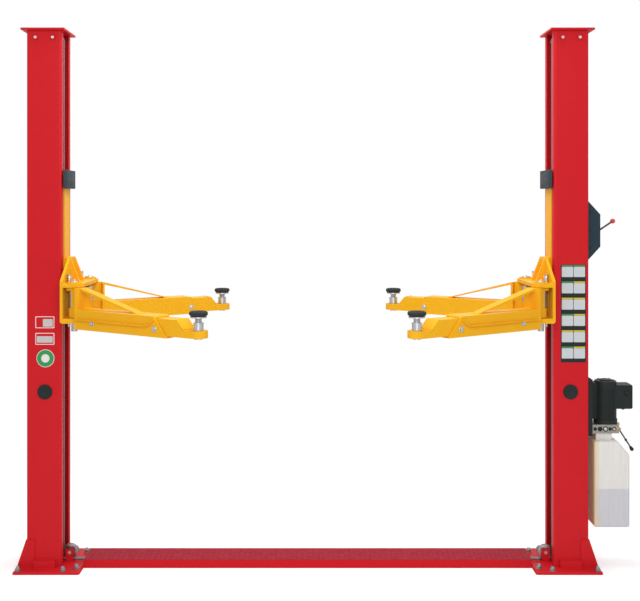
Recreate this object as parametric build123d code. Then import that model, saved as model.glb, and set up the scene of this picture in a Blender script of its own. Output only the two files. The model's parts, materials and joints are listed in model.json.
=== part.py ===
"""Two post car lift with a floor cover between its posts, in millimetres.

The origin is on the floor midway between the posts. +X points to the post that
carries the power unit, -Y to the front and +Z up. The carriages stand at the
height where the arms are about waist high.
"""
from build123d import *
import math
import os

# Posts, folded from plate into a C whose slot faces the other post
LIFT_HEIGHT = 2850.0
POST_OUTER = 1482.0
POST_DEPTH = 184.0
POST_WIDTH = 200.0
POST_WALL = 6.0
POST_LIP = 40.0
POST_BEND = 12.0
CAP_THICKNESS = 10.0
CAP_OVERHANG = 25.0
CAP_INNER_OVERHANG = 20.0

# Base plates, gussets and foot bars
BASE_OVERHANG = 53.0
BASE_LENGTH = 350.0
BASE_MARGIN = 80.0
BASE_THICKNESS = 12.0
BASE_CHAMFER = 5.0
BASE_CORNER = 12.0
ANCHOR_RADIUS = 10.0
ANCHOR_EDGE = 22.0
ANCHOR_SIDE = 28.0
ANCHOR_POST_GAP = 20.0
ANCHOR_END = 30.0
ANCHOR_COVER_GAP = 35.0
GUSSET_THICKNESS = 8.0
GUSSET_HEIGHT = 146.0
GUSSET_LAP = 43.0
GUSSET_REACH = 46.0
GUSSET_TOE = 10.0
FOOT_BAR_LENGTH = 113.0
FOOT_BAR_DEPTH = 25.0
FOOT_BAR_HEIGHT = 39.0

# Floor cover, a channel of tread plate turned over the cables
COVER_WIDTH = 170.0
COVER_HEIGHT = 45.0
COVER_WALL = 4.0
COVER_GAP = 0.3

# Round plugs in the front flanges
PLUG_SETBACK = 97.0
PLUG_HEIGHT = 934.0
PLUG_RADIUS = 39.0
PLUG_FLANGE = 4.0
PLUG_LAP = 5.0
PLUG_RECESS = 0.5
PLUG_WALL = 3.0
PLUG_CLEARANCE = 0.3

# Equalising cables and their pulleys
CABLE_RADIUS = 4.0
CABLE_OFFSET = 6.0
CABLE_FLOOR_HEIGHT = 22.0
CABLE_TOP_GAP = 8.0
CARRIAGE_CABLE_INSET = 14.0
RETURN_CABLE_INSET = 13.0
TOP_BEND = 30.0
INNER_BASE_BEND = 38.0
OUTER_BASE_BEND = 30.0
PULLEY_RIM = 6.0
PULLEY_CLEARANCE = 0.3
PULLEY_WIDTH = 11.0
TOP_PULLEY_WIDTH = 32.0
TOP_PULLEY_RIM_WIDTH = 4.0
AXLE_RADIUS = 9.0
AXLE_CLEARANCE = 0.05
AXLE_HEAD_RADIUS = 13.0
AXLE_HEAD = 6.0
BASE_CHEEK_OFFSET = 20.0
BASE_CHEEK = 6.0
BASE_CHEEK_HALF = 20.0
BASE_CHEEK_RISE = 18.0

# Hydraulic cylinders inside the posts
CYLINDER_SETBACK = 120.0
SADDLE_GAP = 10.0
SADDLE_PLATE = 12.0
SADDLE_LENGTH = 64.0
SADDLE_WIDTH = 88.0
BARREL_RADIUS = 35.0
BARREL_BORE = 29.0
BARREL_FLOOR = 16.0
BARREL_TOP = 1050.0
GLAND_LENGTH = 40.0
ROD_RADIUS = 22.0
ROD_CLEARANCE = 0.05
PISTON_LENGTH = 40.0
ROD_BOTTOM = 720.0
CLEVIS_BOTTOM = 1685.0
SHEAVE_HEIGHT = 1750.0
SHEAVE_RADIUS = 42.0
SHEAVE_WIDTH = 28.0
SHEAVE_GROOVE = 5.0
SHEAVE_AXLE = 10.0
CLEVIS_GAP = 2.0
CLEVIS_EAR = 12.0
CLEVIS_HALF = 22.0
CLEVIS_BASE = 18.0
CLEVIS_RISE = 25.0

# Carriages
SLOT_CLEARANCE = 5.0
CARRIAGE_PROUD = 6.0
CARRIAGE_DEPTH = 158.0
CARRIAGE_WALL = 8.0
CARRIAGE_BOTTOM = 1308.0
CARRIAGE_TOP = 2100.0
SLIDER_GAP = 0.5
SLIDER_HEIGHT = 120.0
SLIDER_END = 15.0
SLIDER_CORNER = 8.0
LUG_DEPTH = 22.0
LUG_THICKNESS = 12.0
LUG_INSET = 14.0
LUG_HOLE = 6.5
BUMPER_BOTTOM = 2007.0
BUMPER_HEIGHT = 98.0
BUMPER_FRONT = 22.0
BUMPER_SIDE = 38.0
BUMPER_CORNER = 10.0

# Arm brackets on the carriages
BACK_PLATE = 14.0
BACK_GAP = 22.0
BACK_CORNER = 14.0
BACK_SHOULDER_RISE = 15.0
BACK_RISE = 129.0
PIN_SETBACK = 86.0
PIN_SPREAD = 70.0
PIN_RADIUS = 16.0
PIN_CLEARANCE = 0.05
PIN_HEAD_RADIUS = 24.0
PIN_HEAD = 12.0
PIN_DROP = 44.0
BRACKET_RADIUS = 48.0
TOP_PLATE_BOTTOM = 1493.0
TOP_PLATE = 18.0
BOTTOM_PLATE = 25.0
RIB_THICKNESS = 12.0
RIB_REACH = 51.0

# Arm restraints: a toothed ring on each knuckle and a toothed lock block on a
# sprung rod, drawn released, with the block just under the ring
RING_TEETH = 24
RING_ROOT = 36.0
RING_TIP = 42.0
RING_THICKNESS = 14.0
TOOTH_SHARE = 0.45
TOOTH_TAPER = 0.45
LOCK_CLEARANCE = 1.0
LOCK_DROP = 6.0
LOCK_BLOCK = 16.0
LOCK_BLOCK_HALF = 11.0
LOCK_ANGLE = 45.0
LOCK_ROD_OFFSET = 51.0
LOCK_ROD_RADIUS = 7.0
LOCK_ROD_DROP = 26.0
LOCK_ROD_RISE = 44.0
LOCK_STOP_RADIUS = 11.0
LOCK_STOP = 8.0

# Swing arms
ARM_ANGLE = 33.0
ARM_REACH = 830.0
ARM_BOTTOM = 1283.0
ARM_HEIGHT = 100.0
ARM_WIDTH = 110.0
ARM_WALL = 8.0
ARM_LENGTH = 680.0
ARM_MITRE = 85.0
KNUCKLE_GAP = 2.0
KNUCKLE_RADIUS = 30.0
KNUCKLE_WIDTH = 60.0
ROOT_FACE = 56.0
ROOT_PLATE = 12.0
BRACE_WIDTH = 50.0
BRACE_THICKNESS = 12.0
BRACE_END = 470.0
INNER_START = 80.0
INNER_SEAT = 0.3
INNER_TOP_GAP = 1.7
INNER_SIDE_GAP = 2.0
INNER_END = 60.0
INNER_MITRE = 38.0
TIP_THICKNESS = 35.0
TIP_RADIUS = 45.0
TIP_LENGTH = 140.0

# Lifting pads
PAD_SPIGOT = 20.0
PAD_SPIGOT_CLEARANCE = 0.05
PAD_SPIGOT_DROP = 7.0
PAD_SEAT = 0.3
PAD_COLLAR_RADIUS = 24.0
PAD_COLLAR = 38.0
PAD_STEM_RADIUS = 16.0
PAD_STEM = 22.0
PAD_PLATE_RADIUS = 40.0
PAD_PLATE = 6.0
PAD_RADIUS = 45.0
PAD_RUBBER = 30.0
PAD_RIM = 8.0

# Lock cover and release handle on the outer face of the right post
LOCK_BOTTOM = 1620.0
LOCK_TOP = 1947.0
LOCK_FLAT_BOTTOM = 1698.0
LOCK_FLAT_TOP = 1869.0
LOCK_DEPTH = 71.0
LOCK_WIDTH = 130.0
LOCK_WALL = 3.0
LOCK_SLOT_WIDTH = 22.0
LOCK_SLOT_BOTTOM = 1752.0
LOCK_SLOT_TOP = 1800.0
LOCK_PIVOT_DEPTH = 45.0
LOCK_PIVOT_HEIGHT = 1757.0
LOCK_PIN = 5.0
LOCK_HUB_RADIUS = 10.0
LOCK_HUB_LENGTH = 18.0
HANDLE_RADIUS = 5.0
HANDLE_LENGTH = 135.0
HANDLE_ANGLE = 34.0
BALL_RADIUS = 13.5
BALL_FLAT = 7.0

# Power unit on the outer face of the right post
UNIT_CHANNEL = 27.0
UNIT_CHANNEL_WALL = 5.0
UNIT_CHANNEL_WIDTH = 150.0
UNIT_CHANNEL_BOTTOM = 695.0
UNIT_CHANNEL_TOP = 994.0
BLOCK_DEPTH = 145.0
BLOCK_WIDTH = 120.0
BLOCK_BOTTOM = 706.0
BLOCK_HEIGHT = 46.0
MOTOR_DISTANCE = 117.0
MOTOR_RADIUS = 58.0
MOTOR_FLANGE_RADIUS = 62.0
MOTOR_FLANGE = 22.0
MOTOR_TOP = 979.0
MOTOR_CAP = 34.0
MOTOR_CAP_RADIUS = 55.0
TERMINAL_REACH = 247.0
TERMINAL_WIDTH = 92.0
TERMINAL_BOTTOM = 833.0
TERMINAL_HEIGHT = 126.0
TERMINAL_CORNER = 8.0
TERMINAL_GAP = 0.3
TANK_GAP = 32.0
TANK_DEPTH = 188.0
TANK_WIDTH = 180.0
TANK_BOTTOM = 215.0
TANK_TOP = 670.0
TANK_SHOULDER_DEPTH = 125.0
TANK_SHOULDER_DROP = 73.0
TANK_CORNER = 12.0
NECK_INSET = 20.0
NECK_WIDTH = 100.0
VALVE_REACH = 16.0
VALVE_HEIGHT = 718.0
VALVE_EAR = 6.0
VALVE_EAR_GAP = 8.0
VALVE_PIN = 4.0
VALVE_HUB_RADIUS = 9.0
VALVE_HUB_GAP = 0.5
VALVE_ROD = 4.0
VALVE_ROD_LENGTH = 116.0
VALVE_ANGLE = -57.0
KNOB_RADIUS = 10.5
KNOB_NECK = 6.5
KNOB_LENGTH = 24.0

# Sizes worked out from the ones above
BASE_OUTER = POST_OUTER + BASE_OVERHANG
BASE_INNER = BASE_OUTER - BASE_LENGTH
BASE_HALF = POST_WIDTH / 2 + BASE_MARGIN
POST_INNER = POST_OUTER - POST_DEPTH
POST_HALF = POST_WIDTH / 2
POST_TOP = LIFT_HEIGHT - CAP_THICKNESS
SLOT_HALF = POST_HALF - POST_LIP
CARRIAGE_HALF = SLOT_HALF - SLOT_CLEARANCE
CARRIAGE_FACE = POST_INNER - CARRIAGE_PROUD
CARRIAGE_BACK = CARRIAGE_FACE + CARRIAGE_DEPTH
BACK_FACE = POST_INNER - BACK_GAP - BACK_PLATE
PIN_X = POST_INNER - PIN_SETBACK
PIN_Y = POST_HALF + PIN_SPREAD
BACK_HALF = PIN_Y + BRACKET_RADIUS
TOP_PLATE_TOP = TOP_PLATE_BOTTOM + TOP_PLATE
BACK_SHOULDER = TOP_PLATE_TOP + BACK_SHOULDER_RISE
BACK_TOP = TOP_PLATE_TOP + BACK_RISE
BOTTOM_PLATE_TOP = CARRIAGE_BOTTOM + BOTTOM_PLATE
CARRIAGE_CABLE_X = POST_INNER + CARRIAGE_CABLE_INSET
RETURN_CABLE_X = POST_OUTER - POST_WALL - RETURN_CABLE_INSET
CABLE_TOP_HEIGHT = POST_TOP - CABLE_TOP_GAP
TOP_AXLE_HEIGHT = CABLE_TOP_HEIGHT - TOP_BEND
CYLINDER_X = POST_OUTER - CYLINDER_SETBACK
SADDLE_TOP = CABLE_FLOOR_HEIGHT + SADDLE_GAP + SADDLE_PLATE
KNUCKLE_BOTTOM = BOTTOM_PLATE_TOP + KNUCKLE_GAP
KNUCKLE_TOP = TOP_PLATE_BOTTOM - KNUCKLE_GAP
RING_BOTTOM = KNUCKLE_TOP - RING_THICKNESS
INNER_BOTTOM = ARM_BOTTOM + ARM_WALL + INNER_SEAT
INNER_HEIGHT = ARM_HEIGHT - 2 * ARM_WALL - INNER_SEAT - INNER_TOP_GAP
INNER_WIDTH = ARM_WIDTH - 2 * ARM_WALL - 2 * INNER_SIDE_GAP
TIP_TOP = INNER_BOTTOM + TIP_THICKNESS
PAD_BOTTOM = TIP_TOP + PAD_SEAT
BLOCK_TOP = BLOCK_BOTTOM + BLOCK_HEIGHT
UNIT_FACE = POST_OUTER + UNIT_CHANNEL
BLOCK_END = UNIT_FACE + BLOCK_DEPTH
MOTOR_X = POST_OUTER + MOTOR_DISTANCE
BALL_SEAT = math.sqrt(BALL_RADIUS**2 - BALL_FLAT**2)

SIDES = ("left", "right")
ENDS = ("front", "rear")
MIRROR = {"left": True, "right": False}


def block(x0, x1, y0, y1, z0, z1):
    """A block between three pairs of faces."""
    centre = Pos((x0 + x1) / 2, (y0 + y1) / 2, (z0 + z1) / 2)
    return centre * Box(abs(x1 - x0), abs(y1 - y0), abs(z1 - z0))


def rod_x(y, z, x0, x1, radius):
    """A round bar along X."""
    return Pos((x0 + x1) / 2, y, z) * Rot(0, 90, 0) * Cylinder(radius, abs(x1 - x0))


def rod_y(x, z, y0, y1, radius):
    """A round bar along Y."""
    return Pos(x, (y0 + y1) / 2, z) * Rot(90, 0, 0) * Cylinder(radius, abs(y1 - y0))


def rod_z(x, y, z0, z1, radius):
    """A round bar along Z."""
    return Pos(x, y, (z0 + z1) / 2) * Cylinder(radius, abs(z1 - z0))


def plate_xz(points, y0, y1):
    """A plate with the given outline in X and Z, between two values of Y."""
    outline = Polyline(*[(x, y0, z) for x, z in points], close=True)
    return extrude(make_face(outline), amount=y1 - y0, dir=(0, 1, 0))


def plate_yz(points, x0, x1):
    """A plate with the given outline in Y and Z, between two values of X."""
    outline = Polyline(*[(x0, y, z) for y, z in points], close=True)
    return extrude(make_face(outline), amount=x1 - x0, dir=(1, 0, 0))


def for_side(shape, side):
    """The right hand shape, mirrored for the left post."""
    return mirror(shape, about=Plane.YZ) if MIRROR[side] else shape


def turned_for_side(shape, side):
    """The right hand shape, turned half round for the left post."""
    return Rot(0, 0, 180) * shape if MIRROR[side] else shape


def post():
    """The folded C section, with the plug hole and the holes for the top axles."""
    middle = (POST_OUTER + POST_INNER) / 2
    outside = RectangleRounded(POST_DEPTH, POST_WIDTH, POST_BEND)
    inside = RectangleRounded(
        POST_DEPTH - 2 * POST_WALL, POST_WIDTH - 2 * POST_WALL, POST_BEND - POST_WALL
    )
    slot = Pos(-POST_DEPTH / 2, 0) * Rectangle(2 * (POST_WALL + 1), 2 * SLOT_HALF)
    section = outside - inside - slot
    shell = Pos(middle, 0, BASE_THICKNESS) * extrude(section, amount=POST_TOP - BASE_THICKNESS)
    shell -= rod_y(POST_OUTER - PLUG_SETBACK, PLUG_HEIGHT, -POST_WIDTH, 0, PLUG_RADIUS - PLUG_LAP)
    for x in (CARRIAGE_CABLE_X + TOP_BEND, RETURN_CABLE_X - TOP_BEND):
        hole = AXLE_RADIUS + AXLE_CLEARANCE
        shell -= rod_y(x, TOP_AXLE_HEIGHT, -POST_WIDTH, POST_WIDTH, hole)
    return shell


def base():
    """The base plate with its anchor holes, welded gussets and foot bars."""
    shape = block(BASE_INNER, BASE_OUTER, -BASE_HALF, BASE_HALF, 0, BASE_THICKNESS)
    shape = fillet(shape.edges().filter_by(Axis.Z), BASE_CORNER)
    shape = chamfer(shape.edges().filter_by(Axis.Y).group_by(Axis.Z)[-1], BASE_CHAMFER)
    row = BASE_HALF - ANCHOR_SIDE
    for y in (-1, 1):
        for x, offset in (
            (BASE_OUTER - ANCHOR_EDGE, row),
            (POST_INNER - ANCHOR_POST_GAP, row),
            (BASE_INNER + ANCHOR_END, COVER_WIDTH / 2 + ANCHOR_COVER_GAP),
        ):
            shape -= rod_z(x, y * offset, -1, BASE_THICKNESS + 1, ANCHOR_RADIUS)
        face = y * POST_HALF
        outline = [
            (POST_OUTER - GUSSET_LAP, BASE_THICKNESS),
            (POST_OUTER + GUSSET_REACH, BASE_THICKNESS),
            (POST_OUTER + GUSSET_REACH, BASE_THICKNESS + GUSSET_TOE),
            (POST_OUTER, BASE_THICKNESS + GUSSET_HEIGHT),
            (POST_OUTER - GUSSET_LAP, BASE_THICKNESS + GUSSET_HEIGHT),
        ]
        shape += plate_xz(outline, face, face + y * GUSSET_THICKNESS)
        bar_end = POST_OUTER - GUSSET_LAP
        bar_start = bar_end - FOOT_BAR_LENGTH
        bar_top = BASE_THICKNESS + FOOT_BAR_HEIGHT
        shape += block(
            bar_start, bar_end, face, face + y * FOOT_BAR_DEPTH, BASE_THICKNESS, bar_top
        )
    return shape + cylinder_saddle() + pulley_cheeks()


def cylinder_saddle():
    """The bridge on the base plate that lets the cables pass under the cylinder."""
    x0 = CYLINDER_X - SADDLE_LENGTH / 2
    x1 = CYLINDER_X + SADDLE_LENGTH / 2
    half = SADDLE_WIDTH / 2
    shape = block(x0, x1, -half, half, BASE_THICKNESS, SADDLE_TOP)
    tunnel = half - SADDLE_PLATE
    return shape - block(x0 - 1, x1 + 1, -tunnel, tunnel, 0, SADDLE_TOP - SADDLE_PLATE)


def base_pulley_places():
    """X, bend radius and Y of the two base pulleys of the right post."""
    return (
        (CARRIAGE_CABLE_X - INNER_BASE_BEND, INNER_BASE_BEND, -CABLE_OFFSET),
        (RETURN_CABLE_X - OUTER_BASE_BEND, OUTER_BASE_BEND, CABLE_OFFSET),
    )


def pulley_cheeks():
    """Upright cheeks on the base plate that hold the base pulleys' axles."""
    shape = None
    for x, bend, _ in base_pulley_places():
        top = CABLE_FLOOR_HEIGHT + bend + BASE_CHEEK_RISE
        for y in (-1, 1):
            y0 = y * BASE_CHEEK_OFFSET
            y1 = y0 + y * BASE_CHEEK
            cheek = block(x - BASE_CHEEK_HALF, x + BASE_CHEEK_HALF, y0, y1, BASE_THICKNESS, top)
            hole = AXLE_RADIUS + AXLE_CLEARANCE
            cheek -= rod_y(x, CABLE_FLOOR_HEIGHT + bend, y0 - BASE_CHEEK, y1 + BASE_CHEEK, hole)
            shape = cheek if shape is None else shape + cheek
    return shape


def grooved_pulley(x, y, z, bend, width, rim_width):
    """A pulley on a Y axis whose groove carries a cable bent to the given radius."""
    seat = bend - CABLE_RADIUS - PULLEY_CLEARANCE
    rim = bend + PULLEY_RIM - CABLE_RADIUS
    shape = rod_y(x, z, y - width / 2, y + width / 2, seat)
    for side in (-1, 1):
        outer = y + side * width / 2
        shape += rod_y(x, z, outer - side * rim_width, outer, rim)
    hole = AXLE_RADIUS + AXLE_CLEARANCE
    return shape - rod_y(x, z, y - width, y + width, hole)


def base_pulleys():
    """Both base pulleys of the right post, each on its axle."""
    shapes = []
    rim_width = (PULLEY_WIDTH - 2 * CABLE_RADIUS) / 2 - PULLEY_CLEARANCE
    for x, bend, y in base_pulley_places():
        z = CABLE_FLOOR_HEIGHT + bend
        shapes.append(grooved_pulley(x, y, z, bend, PULLEY_WIDTH, rim_width))
        end = BASE_CHEEK_OFFSET + BASE_CHEEK
        shapes.append(rod_y(x, z, -end, end, AXLE_RADIUS))
    return shapes


def top_pulleys():
    """Both top pulleys of the right post, on axles held in the post's flanges."""
    shapes = []
    for x in (CARRIAGE_CABLE_X + TOP_BEND, RETURN_CABLE_X - TOP_BEND):
        shapes.append(
            grooved_pulley(
                x, 0, TOP_AXLE_HEIGHT, TOP_BEND, TOP_PULLEY_WIDTH, TOP_PULLEY_RIM_WIDTH
            )
        )
        axle = rod_y(x, TOP_AXLE_HEIGHT, -POST_HALF, POST_HALF, AXLE_RADIUS)
        for y in (-1, 1):
            face = y * POST_HALF
            head_end = face + y * AXLE_HEAD
            axle += rod_y(x, TOP_AXLE_HEIGHT, face, head_end, AXLE_HEAD_RADIUS)
        shapes.append(axle)
    return shapes


def cable():
    """One equalising cable: down the right post, under the floor cover, up and over the left."""
    tangent = CABLE_TOP_HEIGHT - TOP_BEND - PULLEY_CLEARANCE
    route = FilletPolyline(
        (CARRIAGE_CABLE_X, -CABLE_OFFSET, tangent),
        (CARRIAGE_CABLE_X, -CABLE_OFFSET, CABLE_FLOOR_HEIGHT),
        (-RETURN_CABLE_X, -CABLE_OFFSET, CABLE_FLOOR_HEIGHT),
        (-RETURN_CABLE_X, -CABLE_OFFSET, CABLE_TOP_HEIGHT),
        (-CARRIAGE_CABLE_X, CABLE_OFFSET, CABLE_TOP_HEIGHT),
        (-CARRIAGE_CABLE_X, CABLE_OFFSET, tangent),
        radius=[INNER_BASE_BEND, OUTER_BASE_BEND, TOP_BEND, TOP_BEND],
    )
    section = Plane(origin=route @ 0, z_dir=route % 0) * Circle(CABLE_RADIUS)
    return sweep(section, path=route)


def top_cap():
    """The flat plate that closes a post."""
    half = POST_HALF + CAP_OVERHANG
    inner = POST_INNER - CAP_INNER_OVERHANG
    return block(inner, POST_OUTER + CAP_OVERHANG, -half, half, POST_TOP, LIFT_HEIGHT)


def plug():
    """The moulded plug in the hole of a post's front flange."""
    x = POST_OUTER - PLUG_SETBACK
    face = -POST_HALF
    spigot = PLUG_RADIUS - PLUG_LAP - PLUG_CLEARANCE
    depth = POST_WALL - PLUG_RECESS
    shape = rod_y(x, PLUG_HEIGHT, face - PLUG_FLANGE, face, PLUG_RADIUS)
    shape += rod_y(x, PLUG_HEIGHT, face, face + depth, spigot)
    return shape - rod_y(x, PLUG_HEIGHT, face, face + depth + 1, spigot - PLUG_WALL)


def floor_cover():
    """The upturned channel between the base plates."""
    end = BASE_INNER - COVER_GAP
    half = COVER_WIDTH / 2
    shape = block(-end, end, -half, half, 0, COVER_HEIGHT)
    inner = half - COVER_WALL
    return shape - block(-end - 1, end + 1, -inner, inner, -1, COVER_HEIGHT - COVER_WALL)


def barrel():
    """The cylinder barrel with its gland, standing on the saddle."""
    shape = rod_z(CYLINDER_X, 0, SADDLE_TOP, BARREL_TOP, BARREL_RADIUS)
    shape -= rod_z(
        CYLINDER_X, 0, SADDLE_TOP + BARREL_FLOOR, BARREL_TOP - GLAND_LENGTH, BARREL_BORE
    )
    return shape - rod_z(
        CYLINDER_X, 0, BARREL_TOP - GLAND_LENGTH - 1, BARREL_TOP + 1, ROD_RADIUS + ROD_CLEARANCE
    )


def ram():
    """The piston, rod and clevis, with the chain sheave on its axle."""
    x = CYLINDER_X
    shape = rod_z(x, 0, ROD_BOTTOM, CLEVIS_BOTTOM, ROD_RADIUS)
    shape += rod_z(x, 0, ROD_BOTTOM, ROD_BOTTOM + PISTON_LENGTH, BARREL_BORE - ROD_CLEARANCE)
    outer = SHEAVE_WIDTH / 2 + CLEVIS_GAP + CLEVIS_EAR
    ear_top = SHEAVE_HEIGHT + CLEVIS_RISE
    base_top = CLEVIS_BOTTOM + CLEVIS_BASE
    shape += block(x - outer, x + outer, -CLEVIS_HALF, CLEVIS_HALF, CLEVIS_BOTTOM, ear_top)
    gap = outer - CLEVIS_EAR
    shape -= block(x - gap, x + gap, -CLEVIS_HALF - 1, CLEVIS_HALF + 1, base_top, ear_top + 1)
    shape += rod_x(0, SHEAVE_HEIGHT, x - outer, x + outer, SHEAVE_AXLE)
    half = SHEAVE_WIDTH / 2
    sheave = rod_x(0, SHEAVE_HEIGHT, x - half, x + half, SHEAVE_RADIUS)
    groove = half - SHEAVE_GROOVE
    ring = rod_x(0, SHEAVE_HEIGHT, x - groove, x + groove, SHEAVE_RADIUS + 1)
    ring -= rod_x(0, SHEAVE_HEIGHT, x - groove, x + groove, SHEAVE_RADIUS - SHEAVE_GROOVE)
    sheave -= ring
    sheave -= rod_x(0, SHEAVE_HEIGHT, x - half - 1, x + half + 1, SHEAVE_AXLE + AXLE_CLEARANCE)
    return [shape, sheave]


def carriage():
    """The box that runs in the post, with the bracket plates for the arm pins."""
    half = CARRIAGE_HALF
    shape = block(CARRIAGE_FACE, CARRIAGE_BACK, -half, half, CARRIAGE_BOTTOM, CARRIAGE_TOP)
    outline = [
        (-BACK_HALF, CARRIAGE_BOTTOM),
        (BACK_HALF, CARRIAGE_BOTTOM),
        (BACK_HALF, BACK_SHOULDER),
        (half, BACK_TOP),
        (-half, BACK_TOP),
        (-BACK_HALF, BACK_SHOULDER),
    ]
    back = plate_yz(outline, BACK_FACE, BACK_FACE + BACK_PLATE)
    back += bracket_plate(TOP_PLATE_BOTTOM, TOP_PLATE)
    back += bracket_plate(CARRIAGE_BOTTOM, BOTTOM_PLATE)
    heel = back.edges().filter_by(Axis.Y).group_by(Axis.Z)[0].sort_by(Axis.X)[-1]
    shape += fillet(heel, BACK_CORNER - 1)
    for y in (-1, 1):
        outline = [
            (BACK_FACE, TOP_PLATE_TOP),
            (BACK_FACE - RIB_REACH, TOP_PLATE_TOP),
            (BACK_FACE, BACK_TOP),
        ]
        shape += plate_xz(outline, y * (half - RIB_THICKNESS), y * half)
    inner = half - CARRIAGE_WALL
    front = CARRIAGE_FACE + CARRIAGE_WALL
    shape += block(BACK_FACE, front, -half, half, CARRIAGE_BOTTOM + BACK_CORNER, BACK_TOP)
    hollow = block(
        front, CARRIAGE_BACK - CARRIAGE_WALL, -inner, inner, CARRIAGE_BOTTOM - 1, CARRIAGE_TOP + 1
    )
    shape -= hollow
    for bottom in (CARRIAGE_BOTTOM + LUG_INSET, CARRIAGE_TOP - LUG_INSET - LUG_THICKNESS):
        top = bottom + LUG_THICKNESS
        lug = block(front, front + LUG_DEPTH, -inner, inner, bottom, top)
        lug -= rod_z(CARRIAGE_CABLE_X, -CABLE_OFFSET, bottom - 1, top + 1, LUG_HOLE)
        shape += lug
    return shape


def bracket_plate(bottom, thickness):
    """A horizontal plate with its inner corners rounded about the two arm pins."""
    x0 = PIN_X - BRACKET_RADIUS
    half = PIN_Y + BRACKET_RADIUS
    top = bottom + thickness
    shape = block(x0, BACK_FACE, -half, half, bottom, top)
    corners = shape.edges().filter_by(Axis.Z).group_by(Axis.X)[0]
    shape = fillet(corners, BRACKET_RADIUS - 1)
    pin_hole = rod_z(0, 0, bottom - 1, top + 1, PIN_RADIUS + PIN_CLEARANCE)
    rod_hole = rod_z(LOCK_ROD_OFFSET, 0, bottom - 1, top + 1, LOCK_ROD_RADIUS + PIN_CLEARANCE)
    for place in pin_places():
        shape -= place * pin_hole
        shape -= place * rod_hole
    return shape


def pin_places():
    """Where the two arm pins of a carriage are, with +X turned to the restraint rod."""
    return [
        Pos(PIN_X, end * PIN_Y, 0) * Rot(0, 0, -end * LOCK_ANGLE)
        for end in (-1, 1)
    ]


def toothed(radius, root, tip, thickness, first, last):
    """Teeth of the arm restraint round the origin, from the root out to the tip radius."""
    pitch = 2 * math.pi / RING_TEETH
    half = TOOTH_SHARE * pitch * radius / 2
    narrow = half * TOOTH_TAPER
    points = [(root, -half), (tip, -narrow), (tip, narrow), (root, half)]
    tooth = extrude(make_face(Polyline(*points, close=True)), amount=thickness)
    return [Rot(0, 0, math.degrees(i * pitch)) * tooth for i in range(first, last)]


def knuckle_ring():
    """The toothed ring on top of an arm's knuckle."""
    shape = Pos(0, 0, RING_THICKNESS / 2) * Cylinder(RING_ROOT, RING_THICKNESS)
    teeth = toothed(RING_TIP, RING_ROOT - 1, RING_TIP, RING_THICKNESS, 0, RING_TEETH)
    return Pos(0, 0, RING_BOTTOM) * shape.fuse(*teeth)


def lock_block():
    """The toothed block of an arm restraint, for a ring that turns about the origin."""
    outer = LOCK_ROD_OFFSET + LOCK_ROD_RADIUS / 2
    top = RING_BOTTOM - LOCK_DROP
    bottom = top - LOCK_BLOCK
    shape = block(RING_ROOT, outer, -LOCK_BLOCK_HALF, LOCK_BLOCK_HALF, bottom, top)
    shape -= rod_z(0, 0, bottom - 1, top + 1, RING_TIP + LOCK_CLEARANCE)
    pitch = 360 / RING_TEETH
    inner = RING_ROOT + LOCK_CLEARANCE
    teeth = toothed(RING_TIP, RING_TIP + 2 * LOCK_CLEARANCE, inner, LOCK_BLOCK, -1, 1)
    return shape.fuse(*[Pos(0, 0, bottom) * Rot(0, 0, pitch / 2) * tooth for tooth in teeth])


def arm_locks():
    """The restraint rod with its lock block, beside each arm pin of one carriage."""
    x = LOCK_ROD_OFFSET
    top = TOP_PLATE_TOP + LOCK_ROD_RISE
    rod = rod_z(x, 0, CARRIAGE_BOTTOM - LOCK_ROD_DROP, top, LOCK_ROD_RADIUS)
    rod += rod_z(x, 0, top - LOCK_STOP, top, LOCK_STOP_RADIUS)
    lock = rod + lock_block()
    return [place * lock for place in pin_places()]


def arm_pins():
    """The two pins that the arms of one carriage swing on."""
    pin = rod_z(0, 0, CARRIAGE_BOTTOM - PIN_DROP, TOP_PLATE_TOP, PIN_RADIUS)
    pin += rod_z(0, 0, TOP_PLATE_TOP, TOP_PLATE_TOP + PIN_HEAD, PIN_HEAD_RADIUS)
    return [place * pin for place in pin_places()]


def sliders():
    """The four low friction blocks between a carriage and its post."""
    x0 = POST_INNER + POST_WALL + SLIDER_GAP
    outer = POST_HALF - POST_WALL - SLIDER_GAP
    blocks = []
    for bottom in (CARRIAGE_BOTTOM + SLIDER_END, CARRIAGE_TOP - SLIDER_END - SLIDER_HEIGHT):
        for y in (-1, 1):
            shape = block(
                x0, CARRIAGE_BACK, y * CARRIAGE_HALF, y * outer, bottom, bottom + SLIDER_HEIGHT
            )
            edges = shape.edges().filter_by(Axis.Z).sort_by(lambda e: y * e.center().Y)[-2:]
            blocks.append(fillet(edges, SLIDER_CORNER))
    return blocks


def bumper():
    """The rubber door guard on the top of a carriage's face."""
    x0 = CARRIAGE_FACE - BUMPER_FRONT
    half = CARRIAGE_HALF + BUMPER_SIDE
    top = BUMPER_BOTTOM + BUMPER_HEIGHT
    shape = block(x0, CARRIAGE_FACE, -half, half, BUMPER_BOTTOM, top)
    return fillet(shape.edges().filter_by(Axis.Z).group_by(Axis.X)[0], BUMPER_CORNER)


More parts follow.
